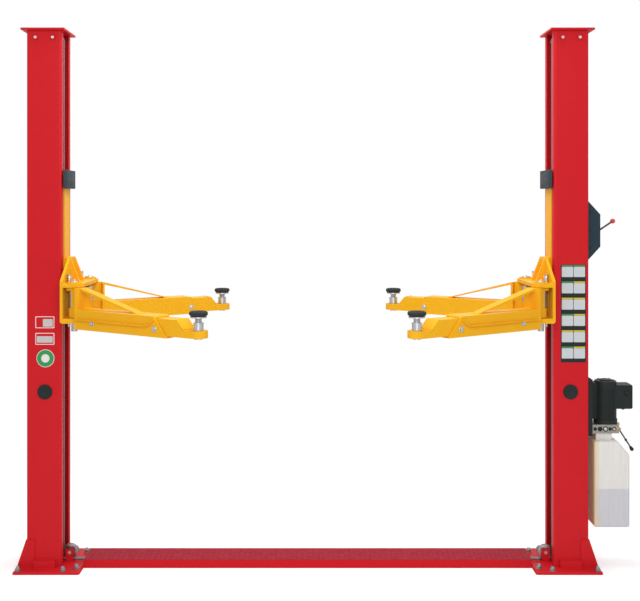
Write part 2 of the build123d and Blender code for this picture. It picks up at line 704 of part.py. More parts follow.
def outer_arm():
    """The swinging half of an arm, along +X from its pin at the origin."""
    half = ARM_WIDTH / 2
    top = ARM_BOTTOM + ARM_HEIGHT
    tube_start = ROOT_FACE + ROOT_PLATE
    shape = block(tube_start, ARM_LENGTH, -half, half, ARM_BOTTOM, top)
    inner = half - ARM_WALL
    shape -= block(
        tube_start, ARM_LENGTH + 1, -inner, inner, ARM_BOTTOM + ARM_WALL, top - ARM_WALL
    )
    mitre = [
        (ARM_LENGTH + 1, ARM_BOTTOM),
        (ARM_LENGTH, ARM_BOTTOM),
        (ARM_LENGTH - ARM_MITRE, top),
        (ARM_LENGTH + 1, top),
    ]
    shape -= plate_xz(mitre, -half - 1, half + 1)
    shape += block(ROOT_FACE, tube_start, -half, half, ARM_BOTTOM, KNUCKLE_TOP)
    shape += rod_z(0, 0, KNUCKLE_BOTTOM, KNUCKLE_TOP, KNUCKLE_RADIUS)
    web = KNUCKLE_WIDTH / 2
    shape += block(0, ROOT_FACE, -web, web, KNUCKLE_BOTTOM, KNUCKLE_TOP)
    shape += knuckle_ring()
    shape -= rod_z(0, 0, KNUCKLE_BOTTOM - 1, KNUCKLE_TOP + 1, PIN_RADIUS + PIN_CLEARANCE)
    brace = [
        (tube_start, KNUCKLE_TOP),
        (BRACE_END, top),
        (BRACE_END - 2 * BRACE_THICKNESS, top),
        (tube_start, KNUCKLE_TOP - 1.1 * BRACE_THICKNESS),
    ]
    return shape + plate_xz(brace, -BRACE_WIDTH / 2, BRACE_WIDTH / 2)


def inner_arm():
    """The sliding half of an arm, with the plate that holds the pad."""
    half = INNER_WIDTH / 2
    top = INNER_BOTTOM + INNER_HEIGHT
    end = ARM_REACH - INNER_END
    shape = block(INNER_START, end, -half, half, INNER_BOTTOM, top)
    inner = half - ARM_WALL
    shape -= block(
        INNER_START - 1, end + 1, -inner, inner, INNER_BOTTOM + ARM_WALL, top - ARM_WALL
    )
    mitre = [(end + 1, TIP_TOP), (end, TIP_TOP), (end - INNER_MITRE, top), (end + 1, top)]
    shape -= plate_xz(mitre, -half - 1, half + 1)
    shape += block(ARM_REACH - TIP_LENGTH, ARM_REACH, -half, half, INNER_BOTTOM, TIP_TOP)
    shape += rod_z(ARM_REACH, 0, INNER_BOTTOM, TIP_TOP, TIP_RADIUS)
    hole = PAD_SPIGOT + PAD_SPIGOT_CLEARANCE
    return shape - rod_z(ARM_REACH, 0, INNER_BOTTOM - 1, TIP_TOP + 1, hole)


def pad_stem():
    """The steel screw, collar and plate under a pad."""
    collar_top = PAD_BOTTOM + PAD_COLLAR
    stem_top = collar_top + PAD_STEM
    shape = rod_z(ARM_REACH, 0, INNER_BOTTOM - PAD_SPIGOT_DROP, PAD_BOTTOM, PAD_SPIGOT)
    shape += rod_z(ARM_REACH, 0, PAD_BOTTOM, collar_top, PAD_COLLAR_RADIUS)
    shape += rod_z(ARM_REACH, 0, collar_top, stem_top, PAD_STEM_RADIUS)
    return shape + rod_z(ARM_REACH, 0, stem_top, stem_top + PAD_PLATE, PAD_PLATE_RADIUS)


def pad_rubber():
    """The rubber disc on top of a pad, with its rims turned off."""
    bottom = PAD_BOTTOM + PAD_COLLAR + PAD_STEM + PAD_PLATE
    disc = rod_z(ARM_REACH, 0, bottom, bottom + PAD_RUBBER, PAD_RADIUS)
    return chamfer(disc.edges().filter_by(GeomType.CIRCLE), PAD_RIM)


def arm_angle(side, end):
    """The direction of an arm at rest, in degrees from +X."""
    swing = -ARM_ANGLE if end == "front" else ARM_ANGLE
    return 180 - swing if side == "right" else swing


def placed_arm(shape, side, end):
    """A shape made along +X from the pin, put where an arm of one post is."""
    x = PIN_X if side == "right" else -PIN_X
    y = -PIN_Y if end == "front" else PIN_Y
    return Pos(x, y, 0) * Rot(0, 0, arm_angle(side, end)) * shape


def lock_cover():
    """The folded cover over the safety lock, with the pin that the handle turns on."""
    half = LOCK_WIDTH / 2
    flat = POST_OUTER + LOCK_DEPTH
    outline = [
        (POST_OUTER, LOCK_BOTTOM),
        (flat, LOCK_FLAT_BOTTOM),
        (flat, LOCK_FLAT_TOP),
        (POST_OUTER, LOCK_TOP),
    ]
    shape = plate_xz(outline, -half, half)
    inner = flat - LOCK_WALL
    hollow = [
        (POST_OUTER - 1, LOCK_BOTTOM + 2 * LOCK_WALL),
        (inner, LOCK_FLAT_BOTTOM + LOCK_WALL / 2),
        (inner, LOCK_FLAT_TOP - LOCK_WALL / 2),
        (POST_OUTER - 1, LOCK_TOP - 2 * LOCK_WALL),
    ]
    shape -= plate_xz(hollow, LOCK_WALL - half, half - LOCK_WALL)
    slot = LOCK_SLOT_WIDTH / 2
    shape -= block(inner - 1, flat + 1, -slot, slot, LOCK_SLOT_BOTTOM, LOCK_SLOT_TOP)
    pivot = POST_OUTER + LOCK_PIVOT_DEPTH
    return shape + rod_y(pivot, LOCK_PIVOT_HEIGHT, -half, half, LOCK_PIN)


def sloped_rod(x, z, angle, start, end, radius):
    """A round bar in the XZ plane, leaving a point at the given angle above +X."""
    middle = (start + end) / 2
    turn = math.radians(angle)
    centre = Pos(x + middle * math.cos(turn), 0, z + middle * math.sin(turn))
    return centre * Rot(0, 90 - angle, 0) * Cylinder(radius, end - start)


def lock_handle():
    """The release lever that comes out of the lock cover."""
    x = POST_OUTER + LOCK_PIVOT_DEPTH
    half = LOCK_HUB_LENGTH / 2
    shape = rod_y(x, LOCK_PIVOT_HEIGHT, -half, half, LOCK_HUB_RADIUS)
    end = HANDLE_LENGTH - BALL_SEAT
    shape += sloped_rod(x, LOCK_PIVOT_HEIGHT, HANDLE_ANGLE, 0, end, HANDLE_RADIUS)
    hole = LOCK_PIN + AXLE_CLEARANCE
    return shape - rod_y(x, LOCK_PIVOT_HEIGHT, -half - 1, half + 1, hole)


def on_lever(shape, x, z, angle, distance):
    """A shape turned round +Z, put on a lever's line at a distance from its pivot."""
    turn = math.radians(angle)
    place = Pos(x + distance * math.cos(turn), 0, z + distance * math.sin(turn))
    return place * Rot(0, 90 - angle, 0) * shape


def lock_ball():
    """The ball on the end of the release lever, with a flat where the lever enters."""
    profile = Polyline((0, 0, BALL_RADIUS), (0, 0, -BALL_SEAT), (BALL_FLAT, 0, -BALL_SEAT))
    profile += ThreePointArc(
        (BALL_FLAT, 0, -BALL_SEAT), (BALL_RADIUS, 0, 0), (0, 0, BALL_RADIUS)
    )
    ball = revolve(make_face(profile), axis=Axis.Z)
    x = POST_OUTER + LOCK_PIVOT_DEPTH
    return on_lever(ball, x, LOCK_PIVOT_HEIGHT, HANDLE_ANGLE, HANDLE_LENGTH)


def unit_channel():
    """The folded channel on the post that carries the power unit."""
    half = UNIT_CHANNEL_WIDTH / 2
    shape = block(POST_OUTER, UNIT_FACE, -half, half, UNIT_CHANNEL_BOTTOM, UNIT_CHANNEL_TOP)
    inner = half - UNIT_CHANNEL_WALL
    web = UNIT_FACE - UNIT_CHANNEL_WALL
    low = UNIT_CHANNEL_BOTTOM - 1
    return shape - block(POST_OUTER - 1, web, -inner, inner, low, UNIT_CHANNEL_TOP + 1)


def valve_block():
    """The aluminium block between motor and tank, with ears for the lowering lever."""
    half = BLOCK_WIDTH / 2
    shape = block(UNIT_FACE, BLOCK_END, -half, half, BLOCK_BOTTOM, BLOCK_TOP)
    x = BLOCK_END + VALVE_REACH
    for y in (-1, 1):
        y0 = y * VALVE_EAR_GAP
        y1 = y0 + y * VALVE_EAR
        z0 = VALVE_HEIGHT - VALVE_HUB_RADIUS
        z1 = VALVE_HEIGHT + VALVE_HUB_RADIUS
        shape += block(BLOCK_END, x, y0, y1, max(z0, BLOCK_BOTTOM), z1)
        shape += rod_y(x, VALVE_HEIGHT, y0, y1, VALVE_HUB_RADIUS)
    end = VALVE_EAR_GAP + VALVE_EAR
    return shape + rod_y(x, VALVE_HEIGHT, -end, end, VALVE_PIN)


def motor():
    """The upright motor with its flange and end cap."""
    shape = rod_z(MOTOR_X, 0, BLOCK_TOP, BLOCK_TOP + MOTOR_FLANGE, MOTOR_FLANGE_RADIUS)
    shape += rod_z(MOTOR_X, 0, BLOCK_TOP + MOTOR_FLANGE, MOTOR_TOP - MOTOR_CAP, MOTOR_RADIUS)
    cap = rod_z(MOTOR_X, 0, MOTOR_TOP - MOTOR_CAP, MOTOR_TOP, MOTOR_RADIUS)
    rim = cap.edges().group_by(Axis.Z)[-1]
    return shape + fillet(rim, MOTOR_RADIUS - MOTOR_CAP_RADIUS + 5)


def terminal_box():
    """The switch box on the motor's side."""
    half = TERMINAL_WIDTH / 2
    end = POST_OUTER + TERMINAL_REACH
    shape = block(
        MOTOR_X, end, -half, half, TERMINAL_BOTTOM, TERMINAL_BOTTOM + TERMINAL_HEIGHT
    )
    shape = fillet(shape.edges().filter_by(Axis.Z).group_by(Axis.X)[-1], TERMINAL_CORNER)
    low = TERMINAL_BOTTOM - 1
    high = TERMINAL_BOTTOM + TERMINAL_HEIGHT + 1
    return shape - rod_z(MOTOR_X, 0, low, high, MOTOR_RADIUS + TERMINAL_GAP)


def oil_tank():
    """The moulded tank that hangs under the valve block."""
    half = TANK_WIDTH / 2
    x0 = POST_OUTER + TANK_GAP
    x1 = x0 + TANK_DEPTH
    outline = [
        (x0, TANK_BOTTOM),
        (x1, TANK_BOTTOM),
        (x1, TANK_TOP - TANK_SHOULDER_DROP),
        (x0 + TANK_SHOULDER_DEPTH, TANK_TOP),
        (x0, TANK_TOP),
    ]
    shape = plate_xz(outline, -half, half)
    shape = fillet(shape.edges(), TANK_CORNER)
    neck = NECK_WIDTH / 2
    neck_end = x0 + TANK_SHOULDER_DEPTH - NECK_INSET
    return shape + block(x0 + NECK_INSET, neck_end, -neck, neck, TANK_TOP - 1, BLOCK_BOTTOM)


def valve_lever():
    """The lowering lever on the valve block."""
    x = BLOCK_END + VALVE_REACH
    half = VALVE_EAR_GAP - VALVE_HUB_GAP
    shape = rod_y(x, VALVE_HEIGHT, -half, half, VALVE_HUB_RADIUS)
    shape += sloped_rod(x, VALVE_HEIGHT, VALVE_ANGLE, 0, VALVE_ROD_LENGTH, VALVE_ROD)
    hole = VALVE_PIN + AXLE_CLEARANCE
    return shape - rod_y(x, VALVE_HEIGHT, -half - 1, half + 1, hole)


def valve_knob():
    """The tapered knob on the end of the lowering lever."""
    profile = [
        (0, 0, 0),
        (KNOB_NECK, 0, 0),
        (KNOB_RADIUS, 0, KNOB_LENGTH - KNOB_NECK),
        (KNOB_NECK, 0, KNOB_LENGTH),
        (0, 0, KNOB_LENGTH),
    ]
    knob = revolve(make_face(Polyline(*profile, close=True)), axis=Axis.Z)
    x = BLOCK_END + VALVE_REACH
    return on_lever(knob, x, VALVE_HEIGHT, VALVE_ANGLE, VALVE_ROD_LENGTH)


def write(node, *shapes):
    """Write one node's solids to its own STEP file."""
    solids = [solid for shape in shapes for solid in shape.solids()]
    export_step(Compound(children=solids) if len(solids) > 1 else solids[0], f"parts/{node}.step")


def write_posts():
    """Both posts with what is fixed to them."""
    pulleys_at_base = []
    pulleys_at_top = []
    barrels = []
    caps = []
    plugs = []
    for side in SIDES:
        write(f"{side}_post", for_side(post(), side))
        write(f"{side}_base", for_side(base(), side))
        caps.append(for_side(top_cap(), side))
        plugs.append(for_side(plug(), side))
        barrels.append(for_side(barrel(), side))
        pulleys_at_base += [turned_for_side(shape, side) for shape in base_pulleys()]
        pulleys_at_top += [turned_for_side(shape, side) for shape in top_pulleys()]
    write("top_caps", *caps)
    write("post_plugs", *plugs)
    write("cylinder_barrels", *barrels)
    write("base_pulleys", *pulleys_at_base)
    write("top_pulleys", *pulleys_at_top)
    write("front_cable", cable())
    write("rear_cable", Rot(0, 0, 180) * cable())
    write("floor_cover", floor_cover())


def write_carriages():
    """Both carriages with their rams, arms and pads."""
    for side in SIDES:
        write(f"{side}_ram", *[for_side(shape, side) for shape in ram()])
        write(f"{side}_carriage", turned_for_side(carriage(), side))
        write(f"{side}_arm_pins", *[for_side(shape, side) for shape in arm_pins()])
        write(f"{side}_arm_locks", *[for_side(shape, side) for shape in arm_locks()])
        write(f"{side}_sliders", *[for_side(shape, side) for shape in sliders()])
        write(f"{side}_bumper", for_side(bumper(), side))
        for end in ENDS:
            write(f"{side}_{end}_arm", placed_arm(outer_arm(), side, end))
            write(f"{side}_{end}_extension", placed_arm(inner_arm(), side, end))
            write(f"{side}_{end}_pad_screw", placed_arm(pad_stem(), side, end))
            write(f"{side}_{end}_pad_rubber", placed_arm(pad_rubber(), side, end))


def write_fittings():
    """The lock cover and the power unit on the right post."""
    write("lock_cover", lock_cover())
    write("lock_handle", lock_handle())
    write("lock_ball", lock_ball())
    write("power_unit_channel", unit_channel())
    write("valve_block", valve_block())
    write("motor", motor())
    write("terminal_box", terminal_box())
    write("oil_tank", oil_tank())
    write("valve_lever", valve_lever())
    write("valve_knob", valve_knob())


os.makedirs("parts", exist_ok=True)
write_posts()
write_carriages()
write_fittings()
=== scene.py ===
"""Looks of the two post car lift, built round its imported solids.

Lengths are millimetres in the frame of the lift: +X is the post with the power unit,
-Y the front and +Z up. The helpers that add meshes and nodes turn them to metres.
"""

import json
import logging
import math
from collections.abc import Callable, Sequence
from dataclasses import dataclass, replace
from enum import Enum
from itertools import product

import bmesh
import bpy
from mathutils import Euler, Matrix, Vector


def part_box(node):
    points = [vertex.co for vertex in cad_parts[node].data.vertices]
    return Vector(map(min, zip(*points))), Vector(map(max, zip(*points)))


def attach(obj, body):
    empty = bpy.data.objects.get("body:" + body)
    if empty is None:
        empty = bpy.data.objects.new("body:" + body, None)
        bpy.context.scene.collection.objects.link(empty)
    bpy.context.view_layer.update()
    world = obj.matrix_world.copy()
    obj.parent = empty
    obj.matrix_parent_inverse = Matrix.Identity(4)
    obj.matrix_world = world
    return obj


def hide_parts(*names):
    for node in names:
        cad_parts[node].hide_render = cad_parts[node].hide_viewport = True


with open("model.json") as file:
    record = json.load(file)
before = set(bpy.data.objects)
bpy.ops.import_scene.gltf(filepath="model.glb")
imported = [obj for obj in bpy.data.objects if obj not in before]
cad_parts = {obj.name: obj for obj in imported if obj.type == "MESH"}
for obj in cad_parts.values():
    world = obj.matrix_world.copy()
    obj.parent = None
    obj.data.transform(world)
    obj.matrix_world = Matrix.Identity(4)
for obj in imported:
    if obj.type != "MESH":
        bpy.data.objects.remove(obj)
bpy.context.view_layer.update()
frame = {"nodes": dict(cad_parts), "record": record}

MM = 0.001
LOG = logging.getLogger("lift")
WHITE = (1.0, 1.0, 1.0, 1.0)
# Most of a noise texture's values lie between these
NOISE_SPAN = (0.3, 0.7)

Pair = tuple[float, float]
Point = tuple[float, float, float]
Rings = Sequence[Pair]
Piece = bpy.types.Object
Socket = bpy.types.NodeSocket
Tree = bpy.types.NodeTree


class Labelled(Enum):
    """A choice whose name is part of the names of pieces."""

    @property
    def label(self) -> str:
        """The word that the names of its pieces hold."""
        return self.name.lower()


class Side(Labelled):
    """The two posts, with the sign of their X."""

    LEFT = -1
    RIGHT = 1


class End(Labelled):
    """The two ends of the lift, with the sign of their Y."""

    FRONT = -1
    REAR = 1


class Grain(Enum):
    """How a surface was made, which decides the relief on it."""

    SPRAYED = "sprayed"
    BRUSHED = "brushed"
    MOULDED = "moulded"
    STRANDED = "stranded"


class Element(Enum):
    """What is picked of a mesh, with Blender's word for it."""

    EDGES = "EDGE"
    FACES = "FACE"


def metres(lengths: Sequence[float]) -> tuple[float, ...]:
    """Turn millimetres to the metres of Blender's objects."""
    return tuple(length * MM for length in lengths)


def linear(colour: str) -> tuple[float, float, float, float]:
    """Turn an sRGB hex colour to the linear values that shaders take.

    Args:
        colour: Six hex digits after a hash sign.

    Returns:
        Linear red, green, blue and an alpha of 1.
    """
    values = [int(colour[i:i + 2], 16) / 255 for i in (1, 3, 5)]
    red, green, blue = (
        v / 12.92 if v <= 0.04045 else ((v + 0.055) / 1.055) ** 2.4 for v in values
    )
    return red, green, blue, 1.0


def empty_tree(holder: bpy.types.Material | bpy.types.World) -> Tree:
    """Give a material or a world an empty node tree."""
    holder.use_nodes = True
    holder.node_tree.nodes.clear()
    return holder.node_tree


def add_node(
    tree: Tree,
    kind: str,
    settings: dict[str, object] | None = None,
    values: dict[str | int, object] | None = None,
    links: dict[str | int, Socket] | None = None,
) -> bpy.types.Node:
    """Add one node with its settings, socket values and incoming links.

    Args:
        tree: The node tree that the node goes into.
        kind: The node's type name.
        settings: Properties of the node itself.
        values: Values of input sockets, by socket name or number.
        links: Output sockets to link, by input socket name or number.

    Returns:
        The new node.
    """
    node = tree.nodes.new(kind)
    for name, value in (settings or {}).items():
        setattr(node, name, value)
    for socket, value in (values or {}).items():
        node.inputs[socket].default_value = value
    for socket, source in (links or {}).items():
        tree.links.new(source, node.inputs[socket])
    return node


def noise(tree: Tree, place: Socket, width: float, detail: float, rough: float = 0.5) -> Socket:
    """Add soft noise.

    Args:
        tree: The node tree.
        place: Coordinates.
        width: Width of its patches.
        detail: How many finer layers it has.
        rough: Strength of the finer layers.

    Returns:
        A value from 0 to 1.
    """
    values = {"Scale": 1 / (width * MM), "Detail": detail, "Roughness": rough}
    return add_node(tree, "ShaderNodeTexNoise", None, values, {"Vector": place}).outputs["Fac"]


def remap(tree: Tree, source: Socket, given: Pair, wanted: Pair = (0.0, 1.0)) -> Socket:
    """Stretch one range of a value to another, and hold it at the ends.

    Args:
        tree: The node tree.
        source: The value.
        given: Its range.
        wanted: The range that it gets.

    Returns:
        The new value.
    """
    values = dict(enumerate((*given, *wanted), start=1))
    return add_node(tree, "ShaderNodeMapRange", None, values, {0: source}).outputs[0]


def blend(tree: Tree, share: Socket, first: str | Socket, second: str | Socket) -> Socket:
    """Mix two colours.

    Args:
        tree: The node tree.
        share: How much of the second one there is.
        first: An sRGB colour, or a colour output.
        second: The same.

    Returns:
        The mixed colour.
    """
    ends = {6: first, 7: second}
    values = {number: linear(end) for number, end in ends.items() if isinstance(end, str)}
    links = {number: end for number, end in ends.items() if not isinstance(end, str)}
    mix = add_node(tree, "ShaderNodeMix", {"data_type": "RGBA"}, values, {0: share, **links})
    return mix.outputs[2]


def mapped(tree: Tree, place: Socket, change: str, amounts: Sequence[float]) -> Socket:
    """Change coordinates by "Scale" or "Rotation", with an amount for each axis."""
    node = add_node(tree, "ShaderNodeMapping", None, {change: amounts}, {"Vector": place})
    return node.outputs["Vector"]


def raised(tree: Tree, height: Socket, depth: float) -> Socket:
    """Turn a height from 0 to 1 to the normals of relief of a given depth."""
    values = {"Strength": 1.0, "Distance": depth * MM}
    return add_node(tree, "ShaderNodeBump", None, values, {"Height": height}).outputs["Normal"]


@dataclass(frozen=True)
class Look:
    """A material that is built once.

    Attributes:
        name: The material's name.
    """

    name: str

    def material(self) -> bpy.types.Material:
        """Build the material, or find it if it was built before."""
        material = bpy.data.materials.get(self.name)
        if not material:
            material = bpy.data.materials.new(self.name)
            tree = empty_tree(material)
            place = add_node(tree, "ShaderNodeTexCoord").outputs["Object"]
            surface = self.surface(tree, place)
            add_node(tree, "ShaderNodeOutputMaterial", links={"Surface": surface})
        return material

    def surface(self, tree: Tree, place: Socket) -> Socket:
        """Build the shader on object coordinates, which each kind of finish does its way.

        Args:
            tree: The material's node tree.
            place: Object coordinates.

        Returns:
            The shader's output.
        """
        raise NotImplementedError


@dataclass(frozen=True)
class Finish(Look):
    """A finish of one kind all over.

    Attributes:
        colour: Its sRGB colour.
        second: A second colour that drifts through the first in broad patches.
        grain: How the surface was made.
        grain_size: Width of the relief's grains.
        grain_depth: Height of the relief.
        roughness: Roughness of the surface, and how far it strays either way.
        metallic: 1 for bare metal.
        coat: Weight of a clear top layer.
        coat_roughness: Roughness of that layer.
        specular: Strength of the mirror layer over the colour, 0.5 for bare plastic.
        axis: The direction that brush marks run along, in X, Y and Z.
        patch: Width of the patches of colour, with the detail and roughness of their noise.
        mark: The same of the handling marks, which change the roughness.
        lay: Angle at which wires are laid round a strand.
        wave: Number that turns a wave texture's scale to the width of its bands.
    """

    colour: str
    second: str
    grain: Grain
    grain_size: float
    grain_depth: float
    roughness: Pair
    metallic: float = 0.0
    coat: float = 0.0
    coat_roughness: float = 0.12
    specular: float = 0.5
    axis: Point = (0.0, 0.0, 1.0)
    patch: Point = (90.0, 3.0, 0.6)
    mark: Point = (22.0, 4.0, 0.7)
    lay: float = 35.0
    wave: float = 6.28

    def surface(self, tree: Tree, place: Socket) -> Socket:
        """Build the shader: two colours in patches, stray roughness, and relief.

        Args:
            tree: The material's node tree.
            place: Object coordinates.

        Returns:
            The shader's output.
        """
        patches = noise(tree, place, *self.patch)
        marks = noise(tree, place, *self.mark)
        middle, stray = self.roughness
        return add_node(
            tree,
            "ShaderNodeBsdfPrincipled",
            values={
                "Metallic": self.metallic,
                "Coat Weight": self.coat,
                "Coat Roughness": self.coat_roughness,
                "Specular IOR Level": self.specular,
            },
            links={
                "Base Color": blend(tree, patches, self.colour, self.second),
                "Roughness": remap(tree, marks, NOISE_SPAN, (middle - stray, middle + stray)),
                "Normal": raised(tree, self.relief(tree, place), self.grain_depth),
            },
        ).outputs["BSDF"]

    def relief(self, tree: Tree, place: Socket) -> Socket:
        """Draw the height of the fine relief that the way of making left.

        Args:
            tree: The material's node tree.
            place: Object coordinates.

        Returns:
            The height, from 0 to 1.
        """
        if self.grain is Grain.STRANDED:
            # Wires laid round a strand show as bands that lean across it
            lean = math.radians(self.lay)
            return add_node(
                tree,
                "ShaderNodeTexWave",
                {"bands_direction": "Z"},
                {"Scale": 1 / (self.grain_size * MM * self.wave), "Distortion": 0.0},
                {"Vector": mapped(tree, place, "Rotation", (lean, lean, 0.0))},
            ).outputs["Fac"]
        brushed = 0.95 if self.grain is Grain.BRUSHED else 0.0
        stretch = [1.0 - brushed * abs(part) for part in self.axis]
        detail = 1.0 if self.grain is Grain.SPRAYED else 3.0
        return noise(tree, mapped(tree, place, "Scale", stretch), self.grain_size, detail)


@dataclass(frozen=True)
class TankPlastic(Look):
    """Natural polyethylene tank: milky, and darker below the oil that shows through it.

    Attributes:
        above: Its sRGB colour above the oil.
        below: The same below the oil.
        side: The same on the wall next to the post.
        oil_level: Height of the oil.
        blur: How far the oil's edge spreads either way.
        side_wall: X where that wall's colour ends, from full to none.
        streak: Width and length of the streaks down the walls.
        streak_span: Values of their noise that count as full streak and as none.
        streak_shade: What the colour is multiplied by at each.
        grain: Width and depth of the relief.
        roughness: Roughness of the surface.
        specular: Strength of the mirror layer over the colour.
        clouding: Share of the light that is scattered inside.
        light_depth: How deep red, green and blue light go in.
    """

    above: str = "#EAE7E3"
    below: str = "#D3D3D9"
    side: str = "#E3D2A4"
    oil_level: float = 420.0
    blur: float = 4.0
    side_wall: Pair = (1514.0, 1546.0)
    streak: Pair = (9.0, 260.0)
    streak_span: Pair = (0.35, 0.65)
    streak_shade: Pair = (0.93, 1.0)
    grain: Pair = (3.0, 0.05)
    roughness: float = 0.42
    specular: float = 0.25
    clouding: float = 0.15
    light_depth: Point = (8.0, 7.0, 6.0)

    def surface(self, tree: Tree, place: Socket) -> Socket:
        """Build the shader: tinted by height and side, streaked, and lit from within.

        Args:
            tree: The material's node tree.
            place: Object coordinates.

        Returns:
            The shader's output.
        """
        parts = add_node(tree, "ShaderNodeSeparateXYZ", links={0: place}).outputs
        edge = metres((self.oil_level - self.blur, self.oil_level + self.blur))
        wall = blend(tree, remap(tree, parts["Z"], edge), self.below, self.above)
        # Next to the post the colour turns tan
        inward = remap(tree, parts["X"], metres(self.side_wall))
        width, length = self.streak
        drawn = mapped(tree, place, "Scale", (1.0, 1.0, width / length))
        shade = remap(
            tree, noise(tree, drawn, width, 2.0), self.streak_span, self.streak_shade
        )
        streaked = add_node(
            tree,
            "ShaderNodeMix",
            {"data_type": "RGBA", "blend_type": "MULTIPLY"},
            {0: 1.0},
            {6: blend(tree, inward, self.side, wall), 7: shade},
        ).outputs[2]
        height = noise(tree, place, self.grain[0], 2.0)
        return add_node(
            tree,
            "ShaderNodeBsdfPrincipled",
            values={
                "Roughness": self.roughness,
                "Specular IOR Level": self.specular,
                "Subsurface Weight": self.clouding,
                "Subsurface Radius": metres(self.light_depth),
                "Subsurface Scale": 1.0,
            },
            links={"Base Color": streaked, "Normal": raised(tree, height, self.grain[1])},
        ).outputs["BSDF"]


@dataclass(frozen=True)
class TreadSheet(Look):
    """Painted tread plate of the floor cover: darker red on top than on its folded sides.

    Attributes:
        top: Its sRGB colour on top.
        side: The same on the folded sides.
        fold: Heights between which one turns to the other.
        scuff: Width of the scuffs, with the detail and roughness of their noise.
        sheen: Roughness of the surface, from the smoothest place to the dullest.
        specular: Strength of the mirror layer over the colour.
    """

    top: str = "#9E2032"
    side: str = "#C91E28"
    fold: Pair = (43.0, 44.6)
    scuff: Point = (35.0, 5.0, 0.7)
    sheen: Pair = (0.42, 0.62)
    specular: float = 0.06

    def surface(self, tree: Tree, place: Socket) -> Socket:
        """Build the shader: two colours by height, and scuffs in the roughness.

        Args:
            tree: The material's node tree.
            place: Object coordinates.

        Returns:
            The shader's output.
        """
        height = add_node(tree, "ShaderNodeSeparateXYZ", links={0: place}).outputs["Z"]
        # Darker red above the fold, the folded sides' red below it
        topside = remap(tree, height, metres(self.fold))
        scuffs = noise(tree, place, *self.scuff)
        return add_node(
            tree,
            "ShaderNodeBsdfPrincipled",
            values={"Specular IOR Level": self.specular},
            links={
                "Base Color": blend(tree, topside, self.side, self.top),
                "Roughness": remap(tree, scuffs, NOISE_SPAN, self.sheen),
            },
        ).outputs["BSDF"]


# Red polyester powder coat: satin, with the faint orange peel of a baked powder
RED_POWDER = Finish(
    "red_powder_coat", "#CF1F28", "#CA1C25", Grain.SPRAYED, 2.5, 0.02, (0.42, 0.05),
    specular=0.12,
)
# Yellow alkyd enamel: glossier than the posts, sprayed over plate and weld
YELLOW_ENAMEL = Finish(
    "yellow_enamel", "#F3B626", "#EEAD20", Grain.SPRAYED, 3.0, 0.03, (0.38, 0.06),
    specular=0.05,
)
# Painted bars of the tread: walked pale, where boots and tyres meet them first
TREAD_PAINT = Finish(
    "worn_tread_paint", "#B02C3C", "#A42435", Grain.SPRAYED, 3.0, 0.05, (0.5, 0.1),
    specular=0.06,
)
# Blue-black enamel of the lock cover: smooth and half matt
COVER_ENAMEL = Finish(
    "blue_black_enamel", "#2B3D47", "#273842", Grain.SPRAYED, 2.0, 0.02, (0.42, 0.05),
    specular=0.15,
)
# Motor enamel over a rough casting
MOTOR_ENAMEL = Finish(
    "motor_enamel", "#222826", "#292F2D", Grain.MOULDED, 1.6, 0.08, (0.45, 0.08), specular=0.15
)
# Black stove enamel of the cylinder barrels, drawn tube under it
BARREL_ENAMEL = Finish(
    "barrel_enamel", "#26282A", "#2C2E30", Grain.BRUSHED, 1.5, 0.02, (0.4, 0.06)
)
# Black polyamide: matt, with the fine spark texture of its mould
BLACK_NYLON = Finish(
    "black_polyamide", "#1E2424", "#242A2A", Grain.MOULDED, 0.8, 0.04, (0.5, 0.06), specular=0.2
)
# Red phenolic ball: polished in its mould
RED_PHENOLIC = Finish(
    "red_phenolic", "#E0342B", "#D82F27", Grain.MOULDED, 4.0, 0.01, (0.18, 0.03), coat=0.4
)
# Natural cast nylon of the slider blocks: cream and waxy
NATURAL_NYLON = Finish(
    "natural_nylon", "#DDD8CB", "#D2CCBE", Grain.MOULDED, 1.5, 0.03, (0.48, 0.06)
)
# Zinc plated turned steel: bright, with fine lathe marks round it
ZINC_STEEL = Finish(
    "zinc_plated_steel", "#D5D8DB", "#C2C6CB", Grain.BRUSHED, 0.7, 0.02, (0.3, 0.08),
    metallic=1.0, axis=(1.0, 1.0, 0.0),
)
# Ground pin steel: darker than zinc and oiled
PIN_STEEL = Finish(
    "ground_pin_steel", "#C9CBCD", "#B1B4B8", Grain.BRUSHED, 0.9, 0.015, (0.24, 0.06),
    metallic=1.0,
)
# Galvanised wire rope, greased: dull bands where its strands lie
WIRE_ROPE = Finish(
    "galvanised_wire_rope", "#8E9092", "#75777A", Grain.STRANDED, 3.0, 0.4, (0.42, 0.08),
    metallic=1.0,
)
# Hard chrome on the rams: almost a mirror, ground along its length
HARD_CHROME = Finish(
    "hard_chrome", "#E4E6E8", "#DADCDF", Grain.BRUSHED, 0.6, 0.005, (0.12, 0.03), metallic=1.0
)
# Milled aluminium of the valve block, greyed by oil and dust
MILLED_ALUMINIUM = Finish(
    "milled_aluminium", "#A8A49C", "#96928A", Grain.BRUSHED, 1.2, 0.02, (0.42, 0.08),
    metallic=1.0, axis=(0.0, 1.0, 0.0),
)
# Galvanised anchors and nuts: duller than fresh zinc
ANCHOR_ZINC = Finish(
    "galvanised_anchor_steel", "#A3A5A6", "#8C8F91", Grain.BRUSHED, 0.9, 0.04, (0.46, 0.08),
    metallic=1.0, axis=(1.0, 1.0, 0.0),
)
# Phosphated steel of the levers: near black, with a dull shine
DARK_LEVER_STEEL = Finish(
    "phosphated_steel", "#4B4647", "#5A5353", Grain.BRUSHED, 0.9, 0.02, (0.45, 0.08),
    metallic=0.6,
)
# Moulded EPDM rubber of the door bumpers: charcoal, chalky where it has been rubbed
BUMPER_RUBBER = Finish(
    "bumper_rubber", "#1D2731", "#25303B", Grain.MOULDED, 1.2, 0.08, (0.62, 0.06), specular=0.05
)
